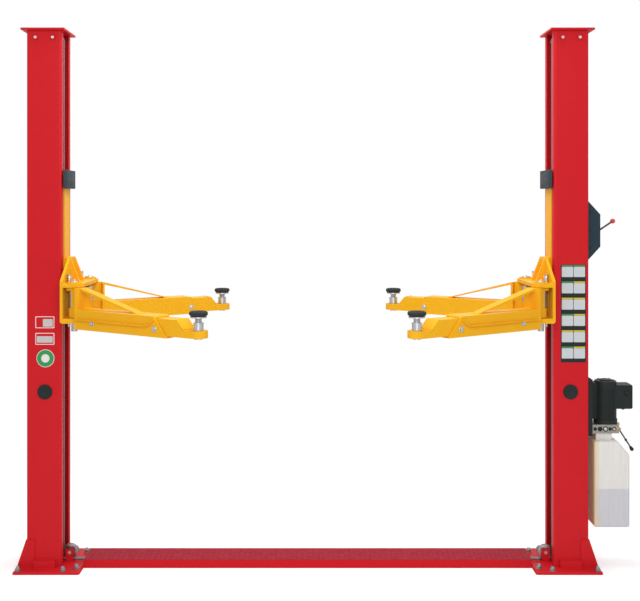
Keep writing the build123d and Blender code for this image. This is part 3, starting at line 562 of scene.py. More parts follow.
# Moulded rubber of the pads: coarser than the bumpers
PAD_RUBBER = Finish(
    "pad_rubber", "#1C242B", "#242D34", Grain.MOULDED, 1.0, 0.1, (0.6, 0.08), specular=0.08
)
# Turned brass of the hydraulic fittings
BRASS = Finish(
    "turned_brass", "#D2A85A", "#C49A4C", Grain.BRUSHED, 0.6, 0.015, (0.25, 0.05),
    metallic=1.0, axis=(1.0, 1.0, 0.0),
)
# Matt vinyl film of the blank plates: flat colour with hardly any relief
WHITE_VINYL = Finish(
    "white_vinyl", "#E9E8E6", "#E2E1DF", Grain.MOULDED, 2.0, 0.01, (0.4, 0.04), specular=0.2
)
GREY_VINYL = replace(WHITE_VINYL, name="grey_vinyl", colour="#C9C8C6", second="#C0BFBD")
YELLOW_VINYL = replace(WHITE_VINYL, name="yellow_vinyl", colour="#E2C52C", second="#DABD28")
PALE_VINYL = replace(WHITE_VINYL, name="pale_vinyl", colour="#CDD3D8", second="#C6CCD1")
BLACK_VINYL = replace(WHITE_VINYL, name="black_vinyl", colour="#1F2628", second="#252C2E")
GREEN_VINYL = replace(WHITE_VINYL, name="green_vinyl", colour="#3E9B58", second="#379350")

# The finish of each material slot in the part's record
SLOT_FINISHES: dict[str, Look] = {
    "red_paint": RED_POWDER,
    "yellow_paint": YELLOW_ENAMEL,
    "cover_paint": TreadSheet("painted_tread_plate"),
    "cover_dark": COVER_ENAMEL,
    "motor_paint": MOTOR_ENAMEL,
    "barrel_paint": BARREL_ENAMEL,
    "black_plastic": BLACK_NYLON,
    "red_plastic": RED_PHENOLIC,
    "tank_plastic": TankPlastic("natural_polyethylene"),
    "slider_nylon": NATURAL_NYLON,
    "pulley_steel": ZINC_STEEL,
    "cable_steel": WIRE_ROPE,
    "pin_steel": PIN_STEEL,
    "screw_zinc": ZINC_STEEL,
    "handle_steel": DARK_LEVER_STEEL,
    "ram_chrome": HARD_CHROME,
    "block_aluminium": MILLED_ALUMINIUM,
    "bumper_rubber": BUMPER_RUBBER,
    "pad_rubber": PAD_RUBBER,
}


def finish_frame() -> None:
    """Give every CAD node the finish of its material slot."""
    slots = {part["node"]: part["material_slot"] for part in frame["record"]["subparts"]}
    for name, node in frame["nodes"].items():
        material = SLOT_FINISHES[slots[name]].material()
        if not node.material_slots:
            node.data.materials.append(material)
        for held in node.material_slots:
            held.material = material
    LOG.info("finished %d CAD nodes", len(frame["nodes"]))


@dataclass(frozen=True)
class Spot:
    """A place and a heading for a piece that was modelled upright at the origin.

    Attributes:
        place: Where the piece's origin goes.
        tilt: Turns about X, Y and Z, in degrees, made in that order.
    """

    place: Point = (0.0, 0.0, 0.0)
    tilt: Point = (0.0, 0.0, 0.0)

    def matrix(self) -> Matrix:
        """The matrix that takes the piece there."""
        turns = [math.radians(angle) for angle in self.tilt]
        return Matrix.Translation(metres(self.place)) @ Euler(turns, "XYZ").to_matrix().to_4x4()


ORIGIN = Spot()
# Edges that turn by more than this, in degrees, stay sharp
SHARP_ANGLE = 35.0
# Steps in a turn of a spring, and sides of its wire
COIL_STEPS = 14
WIRE_SIDES = 8
# A weld bead's ripples: their spacing over its radius, and how far it narrows between them
RIPPLE_SPACING = 1.4
RIPPLE_NECK = 0.84
# Turns that stand an upright piece on a face: its foot on the face, its top outwards
FACING = {End.FRONT: (90.0, 0.0, 0.0), End.REAR: (-90.0, 0.0, 0.0)}
FACING_RIGHT = (0.0, 90.0, 0.0)
FACING_DOWN = (180.0, 0.0, 0.0)


def deselect() -> None:
    """Leave edit mode and select nothing, so that an operator acts on new pieces only."""
    if bpy.context.object and bpy.context.object.mode != "OBJECT":
        bpy.ops.object.mode_set(mode="OBJECT")
    bpy.ops.object.select_all(action="DESELECT")


def fresh(name: str) -> Piece:
    """Name the piece that was just added, and move its place and scale into its mesh."""
    piece = bpy.context.object
    piece.name = name
    bpy.ops.object.transform_apply(location=True, rotation=True, scale=True)
    return piece


def edit_all() -> None:
    """Go into edit mode with the whole mesh selected."""
    bpy.ops.object.mode_set(mode="EDIT")
    bpy.ops.mesh.select_all(action="SELECT")


def pick(piece: Piece, kind: Element, wanted: Callable[..., bool]) -> None:
    """Go into edit mode with only the wanted edges or faces of a piece selected.

    Args:
        piece: The piece, which is the active object.
        kind: Whether edges or faces are meant.
        wanted: Says whether an edge or a face is wanted.
    """
    bpy.ops.object.mode_set(mode="EDIT")
    bpy.ops.mesh.select_mode(type=kind.value)
    bpy.ops.mesh.select_all(action="DESELECT")
    shell = bmesh.from_edit_mesh(piece.data)
    for element in shell.edges if kind is Element.EDGES else shell.faces:
        if wanted(element):
            element.select_set(True)
    bmesh.update_edit_mesh(piece.data)


def modify(piece: Piece, kind: str, **settings: object) -> None:
    """Add a modifier to a piece, and apply it.

    Args:
        piece: The piece.
        kind: The modifier's type name.
        settings: Properties of the modifier.
    """
    modifier = piece.modifiers.new(kind.lower(), kind)
    for name, value in settings.items():
        setattr(modifier, name, value)
    bpy.context.view_layer.objects.active = piece
    bpy.ops.object.modifier_apply(modifier=modifier.name)


def settle(piece: Piece, spot: Spot, angle: float = SHARP_ANGLE) -> Piece:
    """Close a piece's modelling: normals outwards, smooth shading, its place in its mesh.

    Args:
        piece: The piece, modelled at the origin.
        spot: Where it goes.
        angle: Edges sharper than this stay sharp.

    Returns:
        The piece.
    """
    edit_all()
    bpy.ops.mesh.remove_doubles(threshold=0.01 * MM)
    bpy.ops.mesh.normals_make_consistent(inside=False)
    bpy.ops.object.mode_set(mode="OBJECT")
    piece.data.transform(spot.matrix())
    bpy.ops.object.shade_smooth_by_angle(angle=math.radians(angle))
    return piece


def turned(name: str, profile: Rings, spot: Spot = ORIGIN, sides: int = 32) -> Piece:
    """Turn or draw a piece up from a disc, ring by ring.

    Args:
        name: The piece's name.
        profile: Radius and height of each ring, from the foot up.
        spot: Where it goes.
        sides: Corners of each ring, such as 6 for a hexagon.

    Returns:
        The piece.
    """
    deselect()
    (radius, height), *rings = (metres(ring) for ring in profile)
    bpy.ops.mesh.primitive_circle_add(
        vertices=sides, radius=radius, fill_type="NGON", location=(0.0, 0.0, height)
    )
    piece = fresh(name)
    edit_all()
    for next_radius, next_height in rings:
        bpy.ops.mesh.extrude_region_move(
            TRANSFORM_OT_translate={"value": (0.0, 0.0, next_height - height)}
        )
        ratio = next_radius / radius
        bpy.ops.transform.resize(
            value=(ratio, ratio, 1.0), center_override=(0.0, 0.0, next_height)
        )
        radius, height = next_radius, next_height
    return settle(piece, spot)


def slab(name: str, size: Point, spot: Spot, edge: float, segments: int = 2) -> Piece:
    """Cut a block with eased edges, centred on its spot.

    Args:
        name: The piece's name.
        size: Its lengths along X, Y and Z.
        spot: Where its middle goes.
        edge: Width that the edges lose.
        segments: Steps across an eased edge.

    Returns:
        The piece.
    """
    deselect()
    bpy.ops.mesh.primitive_cube_add(size=1.0, scale=metres(size))
    piece = fresh(name)
    edit_all()
    bpy.ops.mesh.bevel(offset=edge * MM, segments=segments)
    return settle(piece, spot)


def plate(name: str, size: Pair, thickness: float, corner: float, spot: Spot) -> Piece:
    """Cut a thin sheet with rounded corners, lying in X and Z and facing -Y.

    Args:
        name: The piece's name.
        size: Its width along X and height along Z.
        thickness: Its size along Y.
        corner: Radius of its corners.
        spot: Where the middle of its back goes.

    Returns:
        The piece.
    """
    deselect()
    depth = thickness * MM
    bpy.ops.mesh.primitive_cube_add(
        size=1.0, scale=metres((size[0], thickness, size[1])), location=(0.0, -depth / 2, 0.0)
    )
    piece = fresh(name)
    pick(
        piece, Element.EDGES,
        lambda rim: abs(rim.verts[0].co.y - rim.verts[1].co.y) > depth / 2,
    )
    bpy.ops.mesh.bevel(offset=corner * MM, segments=5)
    bpy.ops.object.mode_set(mode="OBJECT")
    pick(piece, Element.FACES, lambda face: face.normal.y < -0.9)
    bpy.ops.mesh.bevel(offset=depth * 0.3, segments=1)
    return settle(piece, spot)


def strip(name: str, path: Sequence[Pair], size: Pair, edge: float, spot: Spot) -> Piece:
    """Draw a flat bar along a path in X and Z from one section, step by step.

    Args:
        name: The piece's name.
        path: X and Z of the section's middle, from end to end.
        size: The section's width along Y, and its thickness.
        edge: Width that the long edges lose.
        spot: Where the path's origin goes.

    Returns:
        The piece.
    """
    deselect()
    points = [Vector(metres((x, 0.0, z))) for x, z in path]
    bpy.ops.mesh.primitive_plane_add(
        size=1.0, location=points[0], rotation=(0.0, math.radians(90), 0.0)
    )
    bpy.context.object.scale = (size[1] * MM, size[0] * MM, 1.0)
    piece = fresh(name)
    edit_all()
    for last, point in zip(points, points[1:]):
        bpy.ops.mesh.extrude_region_move(
            TRANSFORM_OT_translate={"value": tuple(point - last)}
        )
    bpy.ops.object.mode_set(mode="OBJECT")
    modify(
        piece, "BEVEL", width=edge * MM, segments=2, limit_method="ANGLE",
        angle_limit=math.radians(50),
    )
    return settle(piece, spot)


def coil(name: str, radius: float, wire: float, pitch: float, turns: int, spot: Spot) -> Piece:
    """Wind a spring upwards from the ring of its wire's section.

    Args:
        name: The piece's name.
        radius: From the spring's axis to the middle of the wire.
        wire: Radius of the wire.
        pitch: Rise of one turn.
        turns: Number of turns.
        spot: Where the middle of its foot goes.

    Returns:
        The piece.
    """
    deselect()
    bpy.ops.mesh.primitive_circle_add(
        vertices=WIRE_SIDES, radius=wire * MM, location=(radius * MM, 0.0, 0.0),
        rotation=(math.radians(90), 0.0, 0.0),
    )
    piece = fresh(name)
    modify(
        piece, "SCREW", axis="Z", angle=math.tau, screw_offset=pitch * MM, iterations=turns,
        steps=COIL_STEPS, render_steps=COIL_STEPS,
    )
    bpy.ops.object.mode_set(mode="EDIT")
    bpy.ops.mesh.select_mode(type="EDGE")
    bpy.ops.mesh.select_all(action="DESELECT")
    bpy.ops.mesh.select_non_manifold()
    bpy.ops.mesh.fill_holes(sides=WIRE_SIDES)
    return settle(piece, spot, 60.0)


def weld(start: Point, end: Point, radius: float) -> Piece:
    """Lay a weld bead between two points, with the ripples of its pool.

    Args:
        start: One end of the bead's middle.
        end: The other end.
        radius: Mean radius of the bead.

    Returns:
        The piece.
    """
    run = Vector(end) - Vector(start)
    steps = max(6, round(run.length / (RIPPLE_SPACING * radius)))
    profile = [(radius * 0.5, 0.0)]
    for step in range(1, steps):
        swell = 1.0 if step % 2 else RIPPLE_NECK
        profile.append((radius * swell, run.length * step / steps))
    profile.append((radius * 0.5, run.length))
    turn = run.to_track_quat("Z", "Y").to_euler()
    spot = Spot(start, tuple(math.degrees(angle) for angle in turn))
    return turned("bead", profile, spot, sides=8)


def copied(piece: Piece, name: str, move: Matrix) -> Piece:
    """Copy a finished piece with a mesh of its own.

    Args:
        piece: The piece, with its place in its mesh.
        name: The copy's name.
        move: What is done to the copy's mesh.

    Returns:
        The copy.
    """
    twin = piece.copy()
    twin.data = piece.data.copy()
    twin.name = name
    transform(twin, move)
    bpy.context.scene.collection.objects.link(twin)
    return twin


def transform(piece: Piece, move: Matrix) -> None:
    """Move a piece's mesh, with its normals kept outwards where the move mirrors it.

    Args:
        piece: The piece.
        move: What is done to its mesh.
    """
    piece.data.transform(move)
    if move.determinant() < 0:
        piece.data.flip_normals()


def mirror(axis: int) -> Matrix:
    """The matrix that swaps the two sides of the lift along an axis."""
    return Matrix.Diagonal([-1.0 if number == axis else 1.0 for number in range(4)])


def joined(name: str, pieces: Sequence[Piece]) -> Piece:
    """Make one piece of several.

    Args:
        name: Its name.
        pieces: What it is made of; the first one stays.

    Returns:
        The piece.
    """
    deselect()
    for piece in pieces:
        piece.select_set(True)
    bpy.context.view_layer.objects.active = pieces[0]
    bpy.ops.object.join()
    pieces[0].name = name
    return pieces[0]


def row(name: str, profile: Rings, spots: Sequence[Spot], sides: int) -> Piece:
    """Turn one profile at several spots, as one piece."""
    return joined(name, [turned(name, profile, spot, sides) for spot in spots])


def dress(piece: Piece, slot: str, body: str = "posts", finish: Look | None = None) -> Piece:
    """Give a piece its finish and the body that it rides on.

    Args:
        piece: The finished piece.
        slot: The record's slot that it follows, or "" if the record has none like it.
        body: The body's name.
        finish: Its finish, where that isn't the slot's own.

    Returns:
        The piece.
    """
    look = finish or SLOT_FINISHES[slot]
    piece.data.materials.clear()
    piece.data.materials.append(look.material())
    LOG.info("%s on %s, in %s", piece.name, body, look.name)
    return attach(piece, body)


def threaded(radius: float, depth: float, pitch: float, foot: float, top: float) -> list[Pair]:
    """Give the profile of a screw thread as rings of two radii.

    Args:
        radius: Outer radius.
        depth: Depth of the thread.
        pitch: Distance between crests.
        foot: Height of the first ring.
        top: Height of the last ring.

    Returns:
        Radius and height of each ring.
    """
    profile = [(radius - depth, foot)]
    for crest in range(round((top - foot) / pitch)):
        low = foot + crest * pitch
        profile += [(radius, low + 0.5 * pitch), (radius - depth, low + pitch)]
    return [*profile, (radius - 2 * depth, top + 0.5 * pitch)]


def hexagon(across: float, height: float) -> list[Pair]:
    """Give the profile of a chamfered hexagon head, to be drawn with six sides.

    Args:
        across: Radius to its corners.
        height: Height of the head.

    Returns:
        Radius and height of each ring.
    """
    ease = 0.12 * across
    return [
        (across - ease, 0.0),
        (across, 0.6 * ease),
        (across, height - ease),
        (across - 1.6 * ease, height),
    ]


@dataclass
class Anchors:
    """The floor anchors in the holes of the base plates: washer, nut and threaded stud."""

    places: tuple[Pair, ...] = ((1513.0, 152.0), (1278.0, 152.0), (1215.0, 120.0))
    plate_top: float = 12.0
    washer: Pair = (16.5, 3.0)
    washer_ease: float = 0.4
    nut: Pair = (14.0, 11.0)
    stud: float = 9.0
    stud_top: float = 33.0
    thread: Pair = (0.8, 2.5)

    def build(self) -> None:
        """Model one anchor and set a copy in every hole."""
        model = self.anchor()
        for side, end in product(Side, End):
            for number, (x, y) in enumerate(self.places, start=1):
                spot = Spot((side.value * x, end.value * y, 0.0))
                name = f"{side.label}_{end.label}_anchor_{number}"
                dress(copied(model, name, spot.matrix()), "screw_zinc", finish=ANCHOR_ZINC)
        bpy.data.objects.remove(model)

    def anchor(self) -> Piece:
        """Model one anchor over the origin."""
        radius, thickness = self.washer
        ease = self.washer_ease
        rings = [
            (radius - ease, 0.0), (radius, ease), (radius, thickness - 1.5 * ease),
            (radius - 2.5 * ease, thickness),
        ]
        washer = turned("washer", rings, Spot((0.0, 0.0, self.plate_top)))
        seat = Spot((0.0, 0.0, self.plate_top + thickness))
        nut = turned("nut", hexagon(*self.nut), seat, sides=6)
        thread = threaded(self.stud, *self.thread, self.plate_top / 2, self.stud_top)
        return joined("anchor", [washer, nut, turned("stud", thread, sides=20)])


@dataclass
class FloorTread:
    """The raised bars of the tread plate that the floor cover is folded from."""

    top: float = 45.0
    columns: int = 83
    rows: int = 5
    pitch: float = 28.0
    half_bar: float = 12.0
    slimness: float = 0.27
    rise: float = 1.6
    sunk: float = 0.2
    lean: float = 45.0

    def build(self) -> None:
        """Raise the bars in two crossed sets, as the rolled pattern has them."""
        sets = []
        for column, line in product((0, 1), (0, 1)):
            lean = self.lean if (line + column) % 2 else -self.lean
            sets.append(self.bars(column, line, lean))
        dress(joined("floor_cover_tread", sets), "cover_paint", finish=TREAD_PAINT)

    def bars(self, column: int, line: int, lean: float) -> Piece:
        """Model one bar and repeat it at every other place of the pattern.

        Args:
            column: 0 or 1, the first column that it fills.
            line: 0 or 1, the first row that it fills.
            lean: The bar's angle to the cover's length, in degrees.

        Returns:
            The bars.
        """
        half = self.half_bar
        shape = [(half, -self.sunk), (0.86 * half, 0.6 * self.rise), (0.6 * half, self.rise)]
        bars = turned("bars", shape, sides=10)
        bars.data.transform(Matrix.Diagonal((1.0, self.slimness, 1.0, 1.0)))
        bars.data.transform(Matrix.Rotation(math.radians(lean), 4, "Z"))
        for axis, count, first in ((0, self.columns, column), (1, self.rows, line)):
            step = [0.0, 0.0, 0.0]
            step[axis] = 2 * self.pitch * MM
            modify(
                bars, "ARRAY", use_relative_offset=False, use_constant_offset=True,
                constant_offset_displace=step, count=(count - first + 1) // 2,
            )
        x = (column - (self.columns - 1) / 2) * self.pitch
        y = (line - (self.rows - 1) / 2) * self.pitch
        bars.data.transform(Spot((x, y, self.top)).matrix())
        return bars


@dataclass
class PostTrim:
    """Axle nuts, plug faces, welds and blank plates on the posts."""

    outer: float = 1482.0
    middle: float = 1385.0
    half: float = 100.0
    base_top: float = 12.0
    bead: float = 3.0
    axles: Pair = (1342.0, 1433.0)
    axle_height: float = 2802.0
    axle_head: float = 6.0
    nut: Pair = (8.5, 8.0)
    axle_cap: Pair = (14.0, 1.0)
    plug_height: float = 934.0
    plug_face: float = 104.0
    plug: Rings = (
        (38.4, -0.3), (38.4, 0.6), (37, 1.8), (33.9, 1.8), (32.4, 0.6), (7, 0.9), (5.5, 0.3),
        (1, 0.3),
    )
    gusset_stands: float = 8.0
    gusset_run: Pair = (1443.0, 1524.0)
    gusset_side: Point = (1439.0, 56.0, 156.0)
    gusset_top: Point = (158.0, 1441.0, 1480.0)
    bar_stands: float = 25.0
    bar_run: Pair = (1328.0, 1437.0)
    bar_top: float = 51.0
    side_run: float = 96.0
    film: float = 0.8
    film_corner: float = 4.0
    outline: Pair = (100.0, 62.0)
    outline_heights: Pair = (1301.0, 1214.0)
    outline_blanks: tuple[Pair, Pair] = ((52.0, 40.0), (84.0, 34.0))
    border: float = 4.0
    blank_drop: float = 3.0
    ring: Pair = (-1382.0, 1111.0)
    ring_radii: Point = (47.0, 44.0, 22.0)
    tall_plate: Pair = (1400.0, 1347.0)
    tall_size: Pair = (132.0, 515.0)
    tall_rows: int = 6
    # The plate's width over the distance of its columns from its middle, and over a field's
    tall_shares: Pair = (4.2, 2.2)
    strip: Pair = (6.0, 7.0)
    field: Pair = (38.0, 54.0)

    def build(self) -> None:
        """Dress both posts."""
        self.nuts()
        self.plugs()
        self.welds()
        self.left_plates()
        self.right_plate()

    def nuts(self) -> None:
        """Cap each head of the top pulleys' axles in paint, with a bright nut on it."""
        model = turned("axle_nut", hexagon(*self.nut), sides=6)
        radius, skin = self.axle_cap
        rings = [(radius, -self.axle_head), (radius, -skin), (radius - skin, skin), (2.0, skin)]
        caps = turned("axle_cap", rings, sides=36)
        face = self.half + self.axle_head
        for side, end in product(Side, End):
            for number, x in enumerate(self.axles, start=1):
                place = (side.value * x, end.value * face, self.axle_height)
                move = Spot(place, FACING[end]).matrix()
                name = f"{side.label}_{end.label}_axle_nut_{number}"
                dress(copied(model, name, move), "screw_zinc")
                dress(copied(caps, name.replace("nut", "cap"), move), "red_paint")
        bpy.data.objects.remove(model)
        bpy.data.objects.remove(caps)

    def plugs(self) -> None:
        """Give each plug its rolled rim and the dimple of its moulding gate."""
        for side in Side:
            place = (side.value * self.middle, -self.plug_face, self.plug_height)
            spot = Spot(place, FACING[End.FRONT])
            face = turned(f"{side.label}_plug_face", self.plug, spot, sides=48)
            dress(face, "black_plastic")

    def welds(self) -> None:
        """Lay the beads that join post, gussets and foot bars to the base plate."""
        low = self.base_top + 0.5 * self.bead
        runs = [
            tuple((x, -self.half - stands, z) for x in run)
            for run, stands, z in (
                (self.gusset_run, self.gusset_stands, low),
                (self.bar_run, self.bar_stands, low),
                (self.bar_run, 0.0, self.bar_top),
            )
        ]
        x, *heights = self.gusset_side
        runs.append(tuple((x, -self.half, height) for height in heights))
        height, *ends = self.gusset_top
        runs.append(tuple((x, -self.half, height) for x in ends))
        for side in Side:
            beads = [weld(start, end, self.bead) for start, end in runs]
            rear = [copied(bead, "bead", mirror(1)) for bead in beads]
            foot = weld(
                (self.outer, -self.side_run, low), (self.outer, self.side_run, low), self.bead
            )
            run = joined(f"{side.label}_post_welds", [foot, *beads, *rear])
            if side is Side.LEFT:
                transform(run, mirror(0))
            dress(run, "red_paint")

    def plain(
        self, name: str, finish: Finish, middle: Pair, size: Pair, lift: float = 0.0
    ) -> None:
        """Stick one plain plate of film to the front of a post.

        Args:
            name: Its name.
            finish: Its finish.
            middle: Its middle in X and Z.
            size: Its width and height.
            lift: How far it stands off the post, when it lies on another.
        """
        spot = Spot((middle[0], -self.half - lift, middle[1]))
        corner = min(self.film_corner, size[0] / 5, size[1] / 5)
        slot = "red_paint" if finish is RED_POWDER else ""
        dress(plate(name, size, self.film, corner, spot), slot, finish=finish)

    def left_plates(self) -> None:
        """Put the two outlined plates and the ring, all blank, on the left post."""
        width, height = self.outline
        inner = (width - 2 * self.border, height - 2 * self.border)
        edge = -self.middle + width / 2 - 2 * self.border
        for number, z in enumerate(self.outline_heights, start=1):
            blank = self.outline_blanks[number - 1]
            middle = (-self.middle, z)
            self.plain(f"left_outline_{number}", WHITE_VINYL, middle, self.outline)
            self.plain(f"left_field_{number}", RED_POWDER, middle, inner, self.film)
            place = (edge - blank[0] / 2, z - self.blank_drop)
            self.plain(f"left_blank_{number}", GREY_VINYL, place, blank, 2 * self.film)
        layers = (
            ("left_ring_rim", WHITE_VINYL),
            ("left_ring", GREEN_VINYL),
            ("left_ring_middle", WHITE_VINYL),
        )
        for number, ((name, finish), radius) in enumerate(zip(layers, self.ring_radii)):
            half = self.film / 2
            profile = [(radius, 0.0), (radius, half), (radius - half, self.film)]
            place = (self.ring[0], -self.half - number * self.film, self.ring[1])
            disc = turned(name, profile, Spot(place, FACING[End.FRONT]), sides=48)
            dress(disc, "", finish=finish)

    def right_plate(self) -> None:
        """Put the tall plate on the right post: six blank pairs of fields under bare strips."""
        x, z = self.tall_plate
        width, height = self.tall_size
        offset, wide = (width / share for share in self.tall_shares)
        self.plain("right_plate", BLACK_VINYL, self.tall_plate, self.tall_size)
        step = height / self.tall_rows
        for number in range(self.tall_rows):
            top = z + height / 2 - number * step
            for column, word in ((-1, "left"), (1, "right")):
                green = number == 0 or column < 0 and number % 2
                strip_finish = GREEN_VINYL if green else YELLOW_VINYL
                for kind, finish, (drop, tall) in (
                    ("strip", strip_finish, self.strip), ("field", PALE_VINYL, self.field)
                ):
                    name = f"right_{kind}_{number + 1}_{word}"
                    middle = (x + column * offset, top - drop)
                    self.plain(name, finish, middle, (wide, tall), self.film)


@dataclass
class CarriageTrim:
    """What is screwed, sprung and welded to one carriage."""

    side: Side
    pin: Pair = (1212.0, 170.0)
    rod: Pair = (1248.06, 133.94)
    plate_top: float = 1511.0
    pin_top: float = 1523.0
    floor: float = 1333.0
    back: float = 1262.0
    plate_end: float = 210.0
    rib: Pair = (1216.0, 1258.0)
    rib_sides: Pair = (42.0, 56.0)
    spring: Pair = (9.6, 1.5)
    spring_pitch: float = 9.6
    spring_turns: int = 12
    bead: float = 2.6
    boss: Rings = ((37, 0), (37, 6), (35, 8), (28, 8), (27, 7))
    cap: Rings = (
        (23, -0.2), (22, 1.2), (17, 1.2), (15.5, 0.4), (6, 0.4), (6, 4), (4, 5), (3.4, 8),
        (2, 9.5),
    )
    sleeve: Rings = (
        (12, 0), (12, 3), (10.5, 4), (10.5, 26), (12, 27), (12, 34), (11.5, 35)
    )
    bumper_screw: Rings = ((9, -2), (9, -0.6), (7.5, 0.2), (3.6, 0.2), (3.4, -2))
    bumper_screw_y: float = 30.0
    bumper_ease: float = 5.0
    bumper_margin: float = 9.0
    groove: Pair = (3.0, 1.5)

    @property
    def body(self) -> str:
        """The name of the carriage's body."""
        return f"{self.side.label}_lift_carriage"

    def build(self) -> None:
        """Dress the carriage."""
        for end in End:
            self.pin_head(end)
            self.restraint(end)
        self.welds()
        self.bumper()

    def place(self, piece: Piece, slot: str, finish: Look | None = None) -> None:
        """Mirror a piece for the left carriage, and dress it.

        Args:
            piece: The piece, modelled for the right carriage.
            slot: The record's slot that it follows.
            finish: Its finish, where that isn't the slot's own.
        """
        if self.side is Side.LEFT:
            transform(piece, mirror(0))
        dress(piece, slot, self.body, finish)

    def pin_head(self, end: End) -> None:
        """Set a painted boss round the head of an arm pin, and a grease nipple on it.

        Args:
            end: Which of the carriage's pins.
        """
        x, y = self.pin[0], end.value * self.pin[1]
        name = f"{self.side.label}_{end.label}_pin"
        boss = turned(f"{name}_boss", self.boss, Spot((x, y, self.plate_top)))
        self.place(boss, "yellow_paint")
        cap = turned(f"{name}_cap", self.cap, Spot((x, y, self.pin_top)))
        self.place(cap, "pin_steel", ZINC_STEEL)

    def restraint(self, end: End) -> None:
        """Wind the spring under an arm restraint's block, and turn the sleeve over it.

        Args:
            end: Which of the carriage's restraints.
        """
        x, y = self.rod[0], end.value * self.rod[1]
        name = f"{self.side.label}_{end.label}_restraint"
        foot = Spot((x, y, self.floor + self.spring[1]))
        spring = coil(
            f"{name}_spring", *self.spring, self.spring_pitch, self.spring_turns, foot
        )
        self.place(spring, "pin_steel", ZINC_STEEL)
        sleeve = turned(f"{name}_sleeve", self.sleeve, Spot((x, y, self.plate_top)))
        self.place(sleeve, "pin_steel", ZINC_STEEL)

    def welds(self) -> None:
        """Lay the beads along the bracket plates and ribs."""
        beads = []
        for y, z in product((-self.plate_end, 0.0), (self.plate_top, self.floor)):
            beads.append(weld((self.back, y, z), (self.back, y + self.plate_end, z), self.bead))
        near, far = self.rib_sides
        for y in (-far, -near, near, far):
            start, end = ((x, y, self.plate_top) for x in self.rib)
            beads.append(weld(start, end, self.bead))
        self.place(joined(f"{self.side.label}_carriage_welds", beads), "yellow_paint")

    def bumper(self) -> None:
        """Replace the plain door guard by one with eased edges, a groove and two screws."""
        node = f"{self.side.label}_bumper"
        low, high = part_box(node)
        size = tuple((high[i] - low[i]) / MM for i in range(3))
        middle = tuple((high[i] + low[i]) / 2 / MM for i in range(3))
        inward = -self.side.value
        front = middle[0] + inward * size[0] / 2
        guard = slab(f"{node}_block", size, Spot(middle), self.bumper_ease, 4)
        largest = max(face.area for face in guard.data.polygons)
        pick(
            guard, Element.FACES,
            lambda face: face.normal.x * inward > 0.9 and face.calc_area() > 0.9 * largest,
        )
        width, depth = metres(self.groove)
        bpy.ops.mesh.inset(thickness=self.bumper_margin * MM, depth=-depth)
        bpy.ops.mesh.inset(thickness=width, depth=depth)
        bpy.ops.object.mode_set(mode="OBJECT")
        bpy.ops.object.shade_smooth_by_angle(angle=math.radians(SHARP_ANGLE))
        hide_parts(node)
        dress(guard, "bumper_rubber", self.body)
        for end in End:
            place = (front, end.value * self.bumper_screw_y, middle[2])
            spot = Spot(place, (0.0, 90.0 * inward, 0.0))
            screw = turned(f"{node}_{end.label}_screw", self.bumper_screw, spot)
            dress(screw, "screw_zinc", self.body, DARK_LEVER_STEEL)


